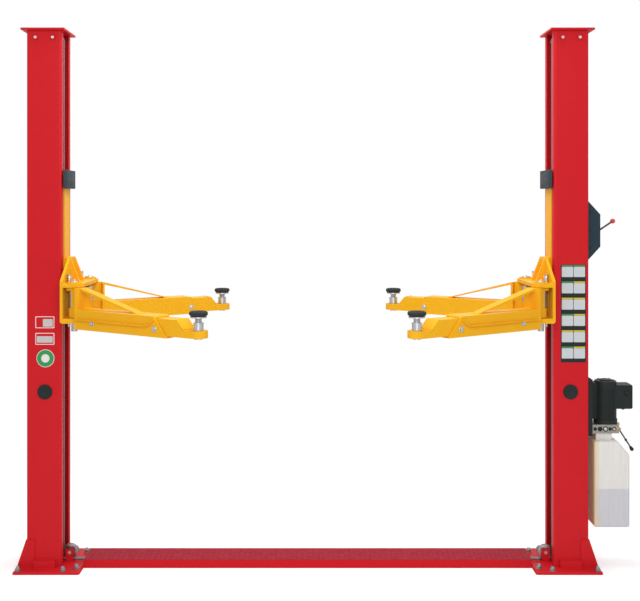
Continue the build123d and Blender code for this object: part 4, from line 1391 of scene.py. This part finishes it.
@dataclass
class ArmTrim:
    """What one swing arm carries: sleeve, bolts, guard, welds, nose, thread and rubber pad."""

    side: Side
    end: End
    pin: Pair = (1212.0, 170.0)
    swing: float = 33.0
    reach: float = 830.0
    half_width: float = 55.0
    bottom: float = 1283.0
    top: float = 1383.0
    root: float = 68.0
    brace: Point = (442.0, 470.0, 25.0)
    knuckle: float = 30.0
    sleeve_skin: float = 1.5
    sleeve_gap: float = 2.0
    ring_foot: float = 1477.0
    bolt: Pair = (11.0, 7.0)
    bolt_places: Pair = (600.0, 183.0)
    bolt_line: float = 1322.0
    washer: float = 1.8
    guard_line: float = 1334.0
    guard_run: Pair = (78.0, 540.0)
    guard_bend: Pair = (70.0, 11.0)
    guard_size: Pair = (14.0, 5.0)
    nose_path: tuple[Pair, ...] = ((727, 1374), (735, 1370.5), (773, 1327))
    nose_size: Pair = (88.0, 5.0)
    strip_edge: float = 1.2
    collar_foot: float = 1326.6
    collar_top: float = 1364.6
    stem_top: float = 1386.6
    thread: Point = (17.4, 1.5, 4.0)
    rim: Rings = ((24, 0), (25.6, 1), (25.6, 6), (24, 7))
    rim_inset: float = 1.0
    rubber: Rings = (
        (30, 0), (36, 1), (41, 4.5), (44.4, 8.5), (45, 12), (45, 16), (43.6, 20.5),
        (40.6, 23.6), (36.5, 25), (33.5, 25), (32.5, 23.4), (28.5, 23.4), (27.5, 25.4),
        (21.5, 25.4), (20.5, 23.8), (16.5, 23.8), (15.5, 26), (6, 26), (5, 24.4), (1, 24.4),
    )
    bead: float = 2.4
    weld_end: float = 2.0

    @property
    def label(self) -> str:
        """The words that the names of the arm's pieces start with."""
        return f"{self.side.label}_{self.end.label}"

    @property
    def outward(self) -> int:
        """The sign of the arm's own Y on the side away from the other arm of its post."""
        return -1 if self.side.value * self.end.value > 0 else 1

    def place(self, piece: Piece, slot: str, part: str) -> None:
        """Take a piece from the arm's own frame, along +X from its pin, and dress it.

        Args:
            piece: The piece, in the arm's own frame.
            slot: The record's slot that it follows.
            part: The last word of the body that it rides on.
        """
        angle = self.end.value * self.swing
        if self.side is Side.RIGHT:
            angle = 180.0 - angle
        pin = (self.side.value * self.pin[0], self.end.value * self.pin[1], 0.0)
        piece.data.transform(Spot(pin, (0.0, 0.0, angle)).matrix())
        dress(piece, slot, f"{self.label}_{part}")

    def build(self) -> None:
        """Dress the arm."""
        self.sleeve()
        self.bolts()
        self.guard()
        self.welds()
        self.nose()
        self.screw()
        self.pad()

    def sleeve(self) -> None:
        """Slip a polished sleeve over the knuckle, between its tube and its toothed ring."""
        r, skin = self.knuckle, self.sleeve_skin
        foot = self.top + self.sleeve_gap
        tall = self.ring_foot - self.sleeve_gap - foot
        rings = [(r, 0.0), (r + skin, skin), (r + skin, tall - skin), (r, tall)]
        spot = Spot((0.0, 0.0, foot))
        piece = turned(f"{self.label}_knuckle_sleeve", rings, spot, sides=48)
        self.place(piece, "pin_steel", "swing")

    def bolts(self) -> None:
        """Put hexagon bolts with washers through the outer tube."""
        radius, height = self.bolt
        far, near = self.bolt_places
        rings = [(1.25 * radius, 0.0), (1.25 * radius, 1.2), (1.2 * radius, self.washer)]
        pieces = []
        for x, sign in ((far, self.outward), (far, -self.outward), (near, self.outward)):
            for profile, stands, sides in (
                (rings, 0.0, 28), (hexagon(radius, height), self.washer, 6)
            ):
                place = (x, sign * (self.half_width + stands), self.bolt_line)
                pieces.append(turned("bolt", profile, Spot(place, FACING[End(sign)]), sides))
        self.place(joined(f"{self.label}_arm_bolts", pieces), "screw_zinc", "swing")

    def guard(self) -> None:
        """Weld the bent guard strip along the outer side of the tube."""
        start, end = self.guard_run
        bend, turn = self.guard_bend
        z = self.guard_line
        path = [(start, z), (end, z)]
        for step in range(1, 6):
            angle = math.radians(turn * step)
            path.append((end + bend * math.sin(angle), z + bend * (1 - math.cos(angle))))
        middle = self.outward * (self.half_width + self.guard_size[0] / 2)
        piece = strip(
            f"{self.label}_guard", path, self.guard_size, self.strip_edge,
            Spot((0.0, middle, 0.0)),
        )
        self.place(piece, "yellow_paint", "swing")

    def welds(self) -> None:
        """Lay the beads round the root plate and at the ends of the brace."""
        x, top, corner = self.root, self.top, self.half_width
        short = self.weld_end
        half = corner - short
        low, high = self.bottom + 2 * short, top - short
        start, end, side = self.brace
        runs = [
            ((x, -corner, low), (x, -corner, high)),
            ((x, corner, low), (x, corner, high)),
            ((x, -half, top), (x, half, top)),
            ((end, short - side, top), (end, side - short, top)),
            ((start, -side, top), (end - short, -side, top)),
            ((start, side, top), (end - short, side, top)),
        ]
        beads = [weld(*run, self.bead) for run in runs]
        self.place(joined(f"{self.label}_arm_welds", beads), "yellow_paint", "swing")

    def nose(self) -> None:
        """Close the end of the sliding tube with the sloping plate welded over it."""
        name = f"{self.label}_nose_plate"
        piece = strip(name, self.nose_path, self.nose_size, self.strip_edge, ORIGIN)
        self.place(piece, "yellow_paint", "reach")

    def screw(self) -> None:
        """Cut the thread of the pad's stem, and the rolled rims of its collar."""
        inset = self.rim_inset
        rings = threaded(*self.thread, self.collar_top, self.stem_top - self.thread[2] / 2)
        pieces = [turned("thread", rings, Spot((self.reach, 0.0, 0.0)))]
        for foot in (self.collar_foot + inset, self.collar_top - inset - self.rim[-1][1]):
            pieces.append(turned("rim", self.rim, Spot((self.reach, 0.0, foot))))
        self.place(joined(f"{self.label}_pad_thread", pieces), "screw_zinc", "pad")

    def pad(self) -> None:
        """Replace the plain rubber disc by the moulded one with grooves on top."""
        node = f"{self.label}_pad_rubber"
        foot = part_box(node)[0][2] / MM
        spot = Spot((self.reach, 0.0, foot))
        piece = turned(f"{self.label}_pad_disc", self.rubber, spot, sides=44)
        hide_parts(node)
        self.place(piece, "pad_rubber", "pad")


@dataclass
class LockTrim:
    """Edge guard of the slot and screws of the lock cover."""

    face: float = 1553.0
    half: float = 65.0
    slot: Pair = (1752.0, 1800.0)
    slot_width: float = 22.0
    lip: float = 5.0
    lip_gap: float = 0.4
    guard: float = 3.0
    guard_ease: float = 0.9
    screw_x: float = 1500.0
    screw_heights: Point = (1690.0, 1784.0, 1878.0)
    screw: Rings = ((5.5, 0), (5.5, 0.8), (4.2, 2.6), (2, 3.2), (1.9, 1.8))

    def build(self) -> None:
        """Dress the lock cover."""
        low, high = self.slot
        size = (self.guard, self.slot_width + 2 * self.lip, high - low + 2 * self.lip)
        deselect()
        bpy.ops.mesh.primitive_cube_add(size=1.0, scale=metres(size))
        guard = fresh("lock_slot_guard")
        pick(guard, Element.FACES, lambda face: abs(face.normal.x) > 0.9)
        bpy.ops.mesh.inset(thickness=(self.lip - self.lip_gap) * MM)
        bpy.ops.mesh.bridge_edge_loops()
        bpy.ops.object.mode_set(mode="OBJECT")
        modify(guard, "BEVEL", width=self.guard_ease * MM, segments=2)
        settle(guard, Spot((self.face + self.guard / 2, 0.0, (low + high) / 2)))
        dress(guard, "black_plastic")
        spots = [
            Spot((self.screw_x, end.value * self.half, z), FACING[end])
            for z, end in product(self.screw_heights, End)
        ]
        dress(row("lock_cover_screws", self.screw, spots, 20), "cover_dark")


@dataclass
class PowerUnitTrim:
    """Saddle, fins, lids, screws, plugs, fittings and seams of the power unit."""

    channel: float = 1509.0
    motor_x: float = 1599.0
    motor_radius: float = 58.0
    motor_foot: float = 774.0
    motor_top: float = 979.0
    saddle_size: Pair = (56.0, 196.0)
    saddle_sunk: float = 8.0
    saddle_edge: float = 4.0
    fins: int = 36
    fin: Pair = (5.0, 2.2)
    fin_rise: float = 2.0
    fin_edge: float = 0.6
    fin_ends: Pair = (6.0, 40.0)
    bare_angle: float = 58.0
    cover: Rings = ((31, -0.2), (30, 4), (27, 5.5), (16, 5.5), (15, 4.5), (2, 4.5))
    motor_screw: Pair = (5.5, 4.0)
    motor_screw_ring: float = 41.0
    box_end: float = 1729.0
    box_half: float = 46.0
    box: Pair = (833.0, 959.0)
    lid: float = 4.0
    lid_rise: float = 3.0
    lid_margin: float = 3.0
    lid_edge: float = 1.4
    box_fittings: float = 1700.0
    button_rise: float = 22.0
    gland_y: float = 18.0
    button: Rings = (
        (15, 0), (15, 3), (13.5, 4.5), (11.5, 4.5), (11, 3), (10, 3.4), (10, 7), (8.5, 8)
    )
    gland: Rings = (
        (11, 0), (11, 3), (9, 3.6), (9, 5), (10.5, 6), (10.5, 12), (7, 16), (4, 16)
    )
    box_screw: Rings = ((4, -0.4), (4, 0.4), (2.8, 1.4), (1.2, 1.6))
    box_screw_inset: Pair = (11.0, 12.0)
    block: Pair = (706.0, 752.0)
    block_half: float = 60.0
    block_end: float = 1654.0
    plugs: tuple[Pair, ...] = ((1582, 9), (1628, 6.5))
    plug: float = 5.0
    port_wall: float = 3.0
    port_places: tuple[Pair, ...] = (
        (1527, 9.5), (1553, 12.5), (1582, 14), (1607, 9), (1628, 10.5)
    )
    hose_place: Pair = (1645.0, 4.0)
    hose: Rings = ((8, 0), (8, 6), (6, 7), (6, 12), (3, 13))
    valve: Rings = ((9, -1), (9, 3), (7, 3.6), (7, 9), (8, 10), (8, 14), (5, 15))
    valve_drop: float = 9.0
    valve_cap: Rings = ((5, 13), (7.5, 15), (7.5, 20), (5.5, 21.5))
    pivot: Pair = (1670.0, 718.0)
    lever_angle: float = -57.0
    lever_grip: float = 68.0
    grip: Rings = ((4.2, 0), (6.4, 1.5), (6.4, 9), (4.2, 11))
    tank: Pair = (1514.0, 1702.0)
    tank_half: float = 90.0
    # The seam's path: X from the tank's outer side, and height
    seam_path: tuple[Pair, ...] = ((1, 229), (1, 594), (-4, 603), (-58, 667))
    seam: Pair = (2.4, 2.0)
    seam_edge: float = 0.4
    rib: Point = (5.0, 3.0, 300.0)
    rib_edge: float = 1.2
    rib_inset: float = 30.0
    rib_middle: float = 400.0

    def build(self) -> None:
        """Dress the power unit."""
        self.saddle()
        self.cooling_fins()
        self.end_cap()
        self.switch_box()
        self.ports()
        self.lowering_valve()
        self.tank_seam()

    def saddle(self) -> None:
        """Bolt the motor's cast saddle between its body and the channel on the post."""
        end = self.motor_x - self.motor_radius + self.saddle_sunk
        deep, tall = self.saddle_size
        spot = Spot(((self.channel + end) / 2, 0.0, self.motor_foot + tall / 2))
        size = (end - self.channel, deep, tall)
        dress(slab("motor_saddle", size, spot, self.saddle_edge), "motor_paint")

    def cooling_fins(self) -> None:
        """Stand low fins round the motor, clear of the switch box."""
        foot, head = self.motor_foot + self.fin_ends[0], self.motor_top - self.fin_ends[1]
        seat = Spot((self.motor_radius + self.fin_rise - self.fin[0] / 2, 0.0, 0.0))
        fin = slab("fin", (*self.fin, head - foot), seat, self.fin_edge, 1)
        middle = (self.motor_x, 0.0, (foot + head) / 2)
        pieces = []
        for number in range(self.fins):
            angle = 360 / self.fins * number
            if min(angle, 360 - angle) >= self.bare_angle:
                move = Spot(middle, (0.0, 0.0, angle)).matrix()
                pieces.append(copied(fin, "fin", move))
        bpy.data.objects.remove(fin)
        dress(joined("motor_fins", pieces), "motor_paint")

    def end_cap(self) -> None:
        """Put the bearing cover and four screws on the motor's end."""
        cover = turned("cover", self.cover, Spot((self.motor_x, 0.0, self.motor_top)))
        dress(cover, "motor_paint")
        spots = []
        for number in range(4):
            angle = math.radians(45 + 90 * number)
            x = self.motor_x + self.motor_screw_ring * math.cos(angle)
            y = self.motor_screw_ring * math.sin(angle)
            spots.append(Spot((x, y, self.motor_top)))
        dress(row("motor_screws", hexagon(*self.motor_screw), spots, 6), "motor_paint")

    def switch_box(self) -> None:
        """Close the switch box with a lid, and give it its button and cable gland."""
        low, high = self.box
        middle = (low + high) / 2
        face = self.box_end + self.lid_rise
        wide, tall = (half - self.lid_margin for half in (self.box_half, (high - low) / 2))
        spot = Spot((face - self.lid / 2, 0.0, middle))
        lid = slab("switch_box_lid", (self.lid, 2 * wide, 2 * tall), spot, self.lid_edge)
        dress(lid, "black_plastic")
        place = (self.box_fittings, -self.box_half, middle + self.button_rise)
        button = turned("switch_button", self.button, Spot(place, FACING[End.FRONT]))
        dress(button, "black_plastic")
        spot = Spot((self.box_fittings, self.gland_y, low), FACING_DOWN)
        dress(turned("cable_gland", self.gland, spot, 24), "black_plastic")
        side, end = self.box_screw_inset
        half = self.box_half - side
        spots = [
            Spot((face, y, z), FACING_RIGHT)
            for y, z in product((-half, half), (low + end, high - end))
        ]
        dress(row("switch_box_screws", self.box_screw, spots, 18), "screw_zinc")

    def ports(self) -> None:
        """Close the valve block's ports with plugs and screw its fittings in."""
        middle = sum(self.block) / 2
        steel = []
        for (x, radius), end in product(self.plugs, End):
            spot = Spot((x, end.value * self.block_half, middle), FACING[end])
            steel.append(turned("plug", hexagon(radius, self.plug), spot, 6))
        dress(joined("valve_block_plugs", steel), "screw_zinc")
        dark = []
        for x, outer in self.port_places:
            inner = outer - self.port_wall
            rings = [
                (outer, 0.0), (outer, 1.2), (outer - 1.0, 1.8), (inner, 1.8),
                (inner - 0.5, 0.6), (1.0, 0.6),
            ]
            spot = Spot((x, -self.block_half, middle), FACING[End.FRONT])
            dark.append(turned("port", rings, spot, 28))
        dress(joined("valve_block_ports", dark), "black_plastic")
        x, rise = self.hose_place
        spot = Spot((x, -self.block_half, middle + rise), FACING[End.FRONT])
        dress(turned("hose_fitting", self.hose, spot, 6), "", finish=BRASS)

    def lowering_valve(self) -> None:
        """Screw the brass valve and its grey knob in beside the lever, and grip the lever."""
        place = (self.block_end, 0.0, self.block[1] - self.valve_drop)
        spot = Spot(place, FACING_RIGHT)
        dress(turned("lowering_valve", self.valve, spot, 24), "", finish=BRASS)
        dress(turned("valve_cap", self.valve_cap, spot, 16), "screw_zinc")
        angle = math.radians(self.lever_angle)
        x = self.pivot[0] + self.lever_grip * math.cos(angle)
        z = self.pivot[1] + self.lever_grip * math.sin(angle)
        spot = Spot((x, 0.0, z), (0.0, 90.0 - self.lever_angle, 0.0))
        dress(turned("lever_grip", self.grip, spot, 24), "black_plastic", "lowering_lever")

    def tank_seam(self) -> None:
        """Raise the mould seam up the tank's outer side, and the ribs on front and back."""
        near, far = self.tank
        spot = Spot((far, 0.0, 0.0))
        seam = strip("tank_seam", self.seam_path, self.seam, self.seam_edge, spot)
        dress(seam, "tank_plastic")
        ribs = []
        for end, x in product(End, (near + self.rib_inset, far - self.rib_inset)):
            spot = Spot((x, end.value * self.tank_half, self.rib_middle))
            ribs.append(slab("rib", self.rib, spot, self.rib_edge))
        dress(joined("tank_ribs", ribs), "tank_plastic")


@dataclass(frozen=True)
class Lamp:
    """A square soft lamp.

    Attributes:
        name: Its name.
        place: Where it hangs.
        size: Its edge length.
        power: Its power in watts.
    """

    name: str
    place: Point
    size: float
    power: float

    def hang(self, target: Point) -> None:
        """Hang the lamp.

        Args:
            target: The point that it is aimed at.
        """
        data = bpy.data.lights.new(self.name, "AREA")
        data.size = self.size * MM
        data.energy = self.power
        lamp = bpy.data.objects.new(self.name, data)
        lamp.location = metres(self.place)
        aim = Vector(target) - Vector(self.place)
        lamp.rotation_euler = aim.to_track_quat("-Z", "Y").to_euler()
        bpy.context.scene.collection.objects.link(lamp)


@dataclass
class Studio:
    """The floor, lamps, world and camera round the lift.

    Attributes:
        image: Width and height of the photograph, in pixels.
        focal_px: The camera's focal length, in pixels.
        sensor: Width of the camera's sensor.
        middle_px: Column of the photograph where the lift's middle is.
        horizon_px: Row of the photograph where the horizon is.
        distance: From the camera to the middle of the lift.
        eye_height: Height of the camera.
        target: What the lamps look at.
        lamps: The lamps.
        world_glow: Strength of the world's light on surfaces that aren't mirrors.
        floor_size: Edge length of the floor.
        floor_drop: How far the floor lies under the lift's feet.
        floor_colour: Its sRGB colour.
        floor_glow: Light that it gives by itself where shadows fall.
        shadow_reach: Distances between which the floor turns to plain white.
    """

    image: Pair = (640.0, 601.0)
    focal_px: float = 956.4
    sensor: float = 36.0
    middle_px: float = 307.7
    horizon_px: float = 205.0
    distance: float = 5140.0
    eye_height: float = 1919.0
    target: Point = (0.0, 0.0, 1400.0)
    lamps: tuple[Lamp, ...] = (
        Lamp("key", (0.0, -3800.0, 3400.0), 1800.0, 58.0),
        Lamp("fill", (0.0, -6000.0, 1500.0), 3000.0, 26.0),
        Lamp("top", (0.0, 200.0, 5000.0), 2500.0, 110.0),
    )
    world_glow: float = 0.56
    floor_size: float = 40000.0
    floor_drop: float = 0.5
    floor_colour: str = "#F4F4F4"
    floor_glow: float = 0.36
    shadow_reach: Pair = (1800.0, 2600.0)

    def build(self) -> None:
        """Set up everything that isn't the lift."""
        self.camera()
        self.world()
        self.floor()
        for lamp in self.lamps:
            lamp.hang(self.target)
        bpy.context.scene.view_settings.view_transform = "Standard"

    def camera(self) -> None:
        """Place the camera level, in front of the lift, as the photograph was taken."""
        width, height = self.image
        data = bpy.data.cameras.new("camera")
        data.sensor_width = self.sensor
        data.lens = self.focal_px / width * self.sensor
        data.shift_x = (width / 2 - self.middle_px) / width
        data.shift_y = (self.horizon_px - height / 2) / width
        camera = bpy.data.objects.new("camera", data)
        camera.location = metres((0.0, -self.distance, self.eye_height))
        camera.rotation_euler = (math.radians(90), 0.0, 0.0)
        bpy.context.scene.collection.objects.link(camera)
        bpy.context.scene.camera = camera

    def world(self) -> None:
        """Light softly from all round, and show white behind the lift and in its metal."""
        world = bpy.data.worlds.new("studio")
        tree = empty_tree(world)
        rays = add_node(tree, "ShaderNodeLightPath").outputs
        bright = rays["Is Camera Ray"]
        for kind in ("Is Transmission Ray", "Is Glossy Ray"):
            either = add_node(
                tree, "ShaderNodeMath", {"operation": "MAXIMUM"}, None, {0: bright, 1: rays[kind]}
            )
            bright = either.outputs[0]
        strength = remap(tree, bright, (0.0, 1.0), (self.world_glow, 1.0))
        light = add_node(
            tree, "ShaderNodeBackground", None, {"Color": WHITE}, {"Strength": strength}
        )
        surface = light.outputs["Background"]
        add_node(tree, "ShaderNodeOutputWorld", links={"Surface": surface})
        bpy.context.scene.world = world

    def floor(self) -> None:
        """Lay a pale floor that stays white where the lift casts no shadow."""
        deselect()
        bpy.ops.mesh.primitive_plane_add(
            size=self.floor_size * MM, location=(0.0, 0.0, -self.floor_drop * MM)
        )
        floor = bpy.context.object
        floor.name = "studio_floor"
        material = bpy.data.materials.new("studio_floor")
        tree = empty_tree(material)
        values = {"Color": linear(self.floor_colour)}
        paint = add_node(tree, "ShaderNodeBsdfDiffuse", None, values).outputs["BSDF"]
        glow, white = (
            add_node(
                tree, "ShaderNodeEmission", None, {"Color": WHITE, "Strength": strength}
            ).outputs["Emission"]
            for strength in (self.floor_glow, 1.0)
        )
        near = add_node(tree, "ShaderNodeAddShader", links={0: paint, 1: glow}).outputs[0]
        place = add_node(tree, "ShaderNodeTexCoord").outputs["Object"]
        span = add_node(
            tree, "ShaderNodeVectorMath", {"operation": "LENGTH"}, links={0: place}
        )
        far = remap(tree, span.outputs["Value"], metres(self.shadow_reach))
        seen = add_node(tree, "ShaderNodeMixShader", links={0: far, 1: near, 2: white})
        camera_ray = add_node(tree, "ShaderNodeLightPath").outputs["Is Camera Ray"]
        links = {0: camera_ray, 1: paint, 2: seen.outputs[0]}
        mixed = add_node(tree, "ShaderNodeMixShader", links=links)
        surface = mixed.outputs[0]
        add_node(tree, "ShaderNodeOutputMaterial", links={"Surface": surface})
        floor.data.materials.append(material)


def main() -> None:
    """Build the studio and dress the lift."""
    logging.basicConfig(level=logging.INFO, format="%(name)s: %(message)s")
    Studio().build()
    finish_frame()
    Anchors().build()
    FloorTread().build()
    PostTrim().build()
    for side in Side:
        CarriageTrim(side).build()
        for end in End:
            ArmTrim(side, end).build()
    LockTrim().build()
    PowerUnitTrim().build()


if __name__ == "__main__":
    main()
